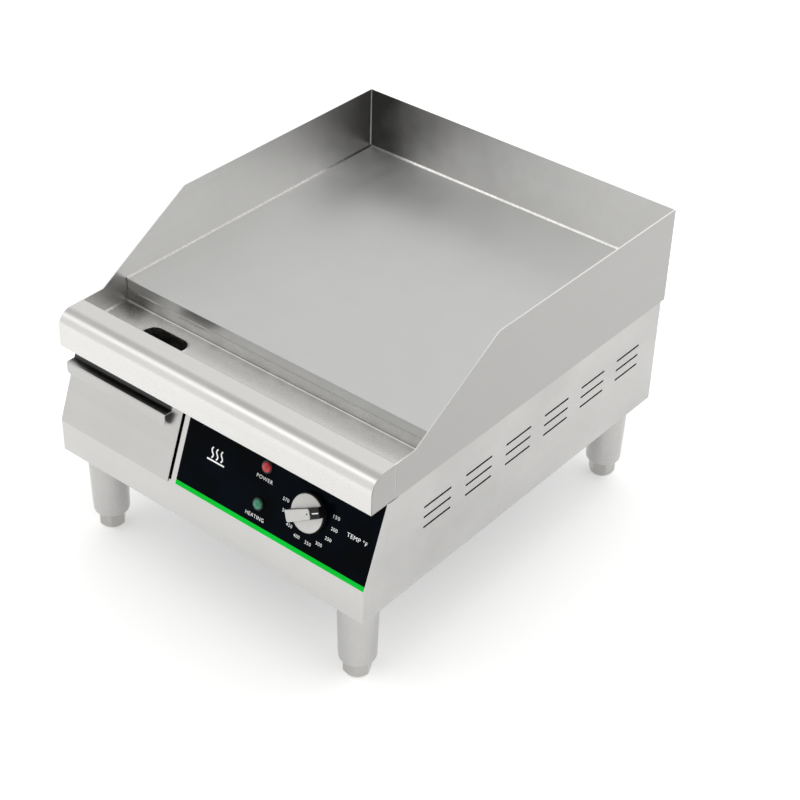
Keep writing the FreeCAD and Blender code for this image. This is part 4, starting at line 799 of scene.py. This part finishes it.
def bar_outline(start, end, start_width, end_width, corner):
    """An outline along local X with four rounded corners."""
    near_start = start + corner
    near_end = end - corner
    start_side = start_width / 2 - corner
    end_side = end_width / 2 - corner
    line = []
    for x, y, first in ((near_start, start_side, 90), (near_start, -start_side, 180),
                        (near_end, -end_side, 270), (near_end, end_side, 0)):
        for step in range(CORNER_STEPS + 1):
            turn = math.radians(first + 90 / CORNER_STEPS * step)
            line.append((x + corner * math.cos(turn), y + corner * math.sin(turn)))
    return line


def knob_place(out=0.0):
    """The knob's own space: X along the bar and Z out of the panel."""
    return on_panel(KNOB_X, KNOB_UP, out, KNOB_ANGLE)


def make_knob_body():
    """Black skirt and bar in one piece."""
    skirt = turned([(0, KNOB_LOW), (SKIRT_RADIUS, KNOB_LOW), (SKIRT_RADIUS, 4.9 * MM),
                    (SKIRT_RADIUS - 0.2 * MM, 5.4 * MM), (SKIRT_RADIUS - 0.6 * MM, SKIRT_OUT),
                    (0, SKIRT_OUT)], AROUND)
    bar = slab(bar_outline(-BAR_HALF, BAR_HALF, BAR_WIDE, BAR_NARROW, 1.2 * MM), 4.5 * MM, BAR_OUT)
    offset = len(skirt[0])
    faces = skirt[1] + [[index + offset for index in face] for face in bar[1]]
    body = new_piece("knob_body_moulded", skirt[0] + bar[0], faces, "knob", "knob_black", knob_place())
    round_corners(body, 0.5)
    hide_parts("knob_body")
    return body


def make_knob_face():
    """Bright plate round the bar, a little higher in its middle."""
    plate = turned([(0, FACE_OUT), (FACE_RADIUS, FACE_OUT), (FACE_RADIUS + 0.15 * MM, 6.2 * MM),
                    (FACE_RADIUS - 0.2 * MM, 6.55 * MM), (12 * MM, 6.75 * MM), (7 * MM, 7.6 * MM),
                    (0, 8.2 * MM)], AROUND)
    face = new_piece("knob_face_dished", *plate, "knob", "knob_silver", knob_place())
    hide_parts("knob_face")
    return face


def make_knob_cap():
    """Bright cap over most of the bar."""
    outline = bar_outline(-BAR_HALF, CAP_END, BAR_WIDE, BAR_NARROW, 2.2 * MM)
    cap = new_piece("knob_cap_bright", *slab(outline, 7 * MM, CAP_OUT), "knob", "knob_silver", knob_place())
    round_corners(cap, 0.7)
    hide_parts("knob_grip_cap")
    return cap


def make_cap_dot():
    """Small dark dot near the cap's inner end."""
    dot = turned([(0, 0), (0.9 * MM, 0), (0.8 * MM, 0.05 * MM), (0, 0.06 * MM)], 24)
    place = knob_place(CAP_OUT - 0.01 * MM) @ Matrix.Translation((CAP_END - 3 * MM, 0, 0))
    return new_piece("knob_cap_dot", *dot, "knob", "knob_black", place)


def make_pointer():
    """Light line on the bar's bare end."""
    outline = bar_outline(CAP_END + 2.5 * MM, BAR_HALF - 0.8 * MM, POINTER_WIDTH, POINTER_WIDTH, 0.3 * MM)
    line = new_piece("knob_pointer", *slab(outline, 0, 0.08 * MM), "knob", "knob_silver",
                     knob_place(BAR_OUT))
    line.data.materials[0] = FINISHES["white_ink"]
    return line


knob_pieces = [make() for make in (make_knob_body, make_knob_face, make_knob_cap, make_cap_dot, make_pointer)]
print("knob pieces:", ", ".join(piece.name for piece in knob_pieces))

# %% [markdown]
# ## Trough details
# The trough's sheet is bent, not cut, so its inner corner is round and catches a line of light. The
# drain slot's edge is pressed up a little all round, which stiffens it.

# %% Trough bend and slot rim
TROUGH_LOW, TROUGH_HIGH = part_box("grease_trough")
CHUTE_LOW, CHUTE_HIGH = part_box("drain_chute")
SHEET = 1.2 * MM
CHUTE_WALL = 1 * MM
RIM_STEPS = 16
BEND_STEPS = 8


def swept_strip(name, profile, start_x, end_x, slot):
    """A strip of one profile, given across and up, between two places along X."""
    points = [(x, y, z) for x in (start_x, end_x) for y, z in profile]
    count = len(profile)
    faces = [[index, index + 1, count + index + 1, count + index] for index in range(count - 1)]
    return new_piece(name, points, faces, "case", slot)


def make_trough_bend(radius=2.2 * MM):
    """Quarter round in the corner between the trough's wall and its floor."""
    wall_y = PLATE_LOW.y - SHEET
    floor_z = TROUGH_LOW.z + SHEET
    middle = (wall_y - radius, floor_z + radius)
    turns = [math.radians(-90 * step / BEND_STEPS) for step in range(BEND_STEPS + 1)]
    profile = [(middle[0] + radius * math.cos(turn), middle[1] + radius * math.sin(turn))
               for turn in turns]
    return swept_strip("trough_bend", profile, TROUGH_LOW.x, TROUGH_HIGH.x, "trough_steel")


def make_slot_rim(lift=0.7 * MM):
    """Pressed rim round the drain slot: a low arched section that follows the oval."""
    centre = (CHUTE_LOW + CHUTE_HIGH) / 2
    inner = (CHUTE_HIGH.y - CHUTE_LOW.y) / 2 - CHUTE_WALL
    reach = (CHUTE_HIGH.x - CHUTE_LOW.x) / 2 - CHUTE_WALL - inner
    section = [(0, -0.2 * MM), (0.1 * MM, 0.8 * lift), (0.5 * MM, lift), (1.1 * MM, 0.7 * lift),
               (1.8 * MM, 0)]
    around = []
    for side in (1, -1):
        for step in range(RIM_STEPS + 1):
            turn = math.radians(-90 + 180 * step / RIM_STEPS) + (0 if side > 0 else math.pi)
            around.append((side * reach, turn))
    points = [(centre.x + shift + (inner + out) * math.cos(turn), centre.y + (inner + out) * math.sin(turn),
               TROUGH_LOW.z + SHEET + up) for shift, turn in around for out, up in section]
    count = len(section)
    faces = []
    for step in range(len(around)):
        here = step * count
        after = (step + 1) % len(around) * count
        for index in range(count - 1):
            faces.append([here + index, after + index, after + index + 1, here + index + 1])
    return new_piece("drain_slot_rim", points, faces, "case", "trough_steel")


print("trough pieces:", make_trough_bend().name, make_slot_rim().name)

# %% Floor
FLOOR_REACH = 8


def lay_floor():
    """A wide pale board under the feet."""
    mesh = bpy.data.meshes.new("studio_floor")
    corners = [(across * FLOOR_REACH, along * FLOOR_REACH, 0)
               for across, along in ((-1, -1), (1, -1), (1, 1), (-1, 1))]
    mesh.from_pydata(corners, [], [(0, 1, 2, 3)])
    mesh.materials.append(floor_board())
    board = bpy.data.objects.new("studio_floor", mesh)
    bpy.context.scene.collection.objects.link(board)


lay_floor()
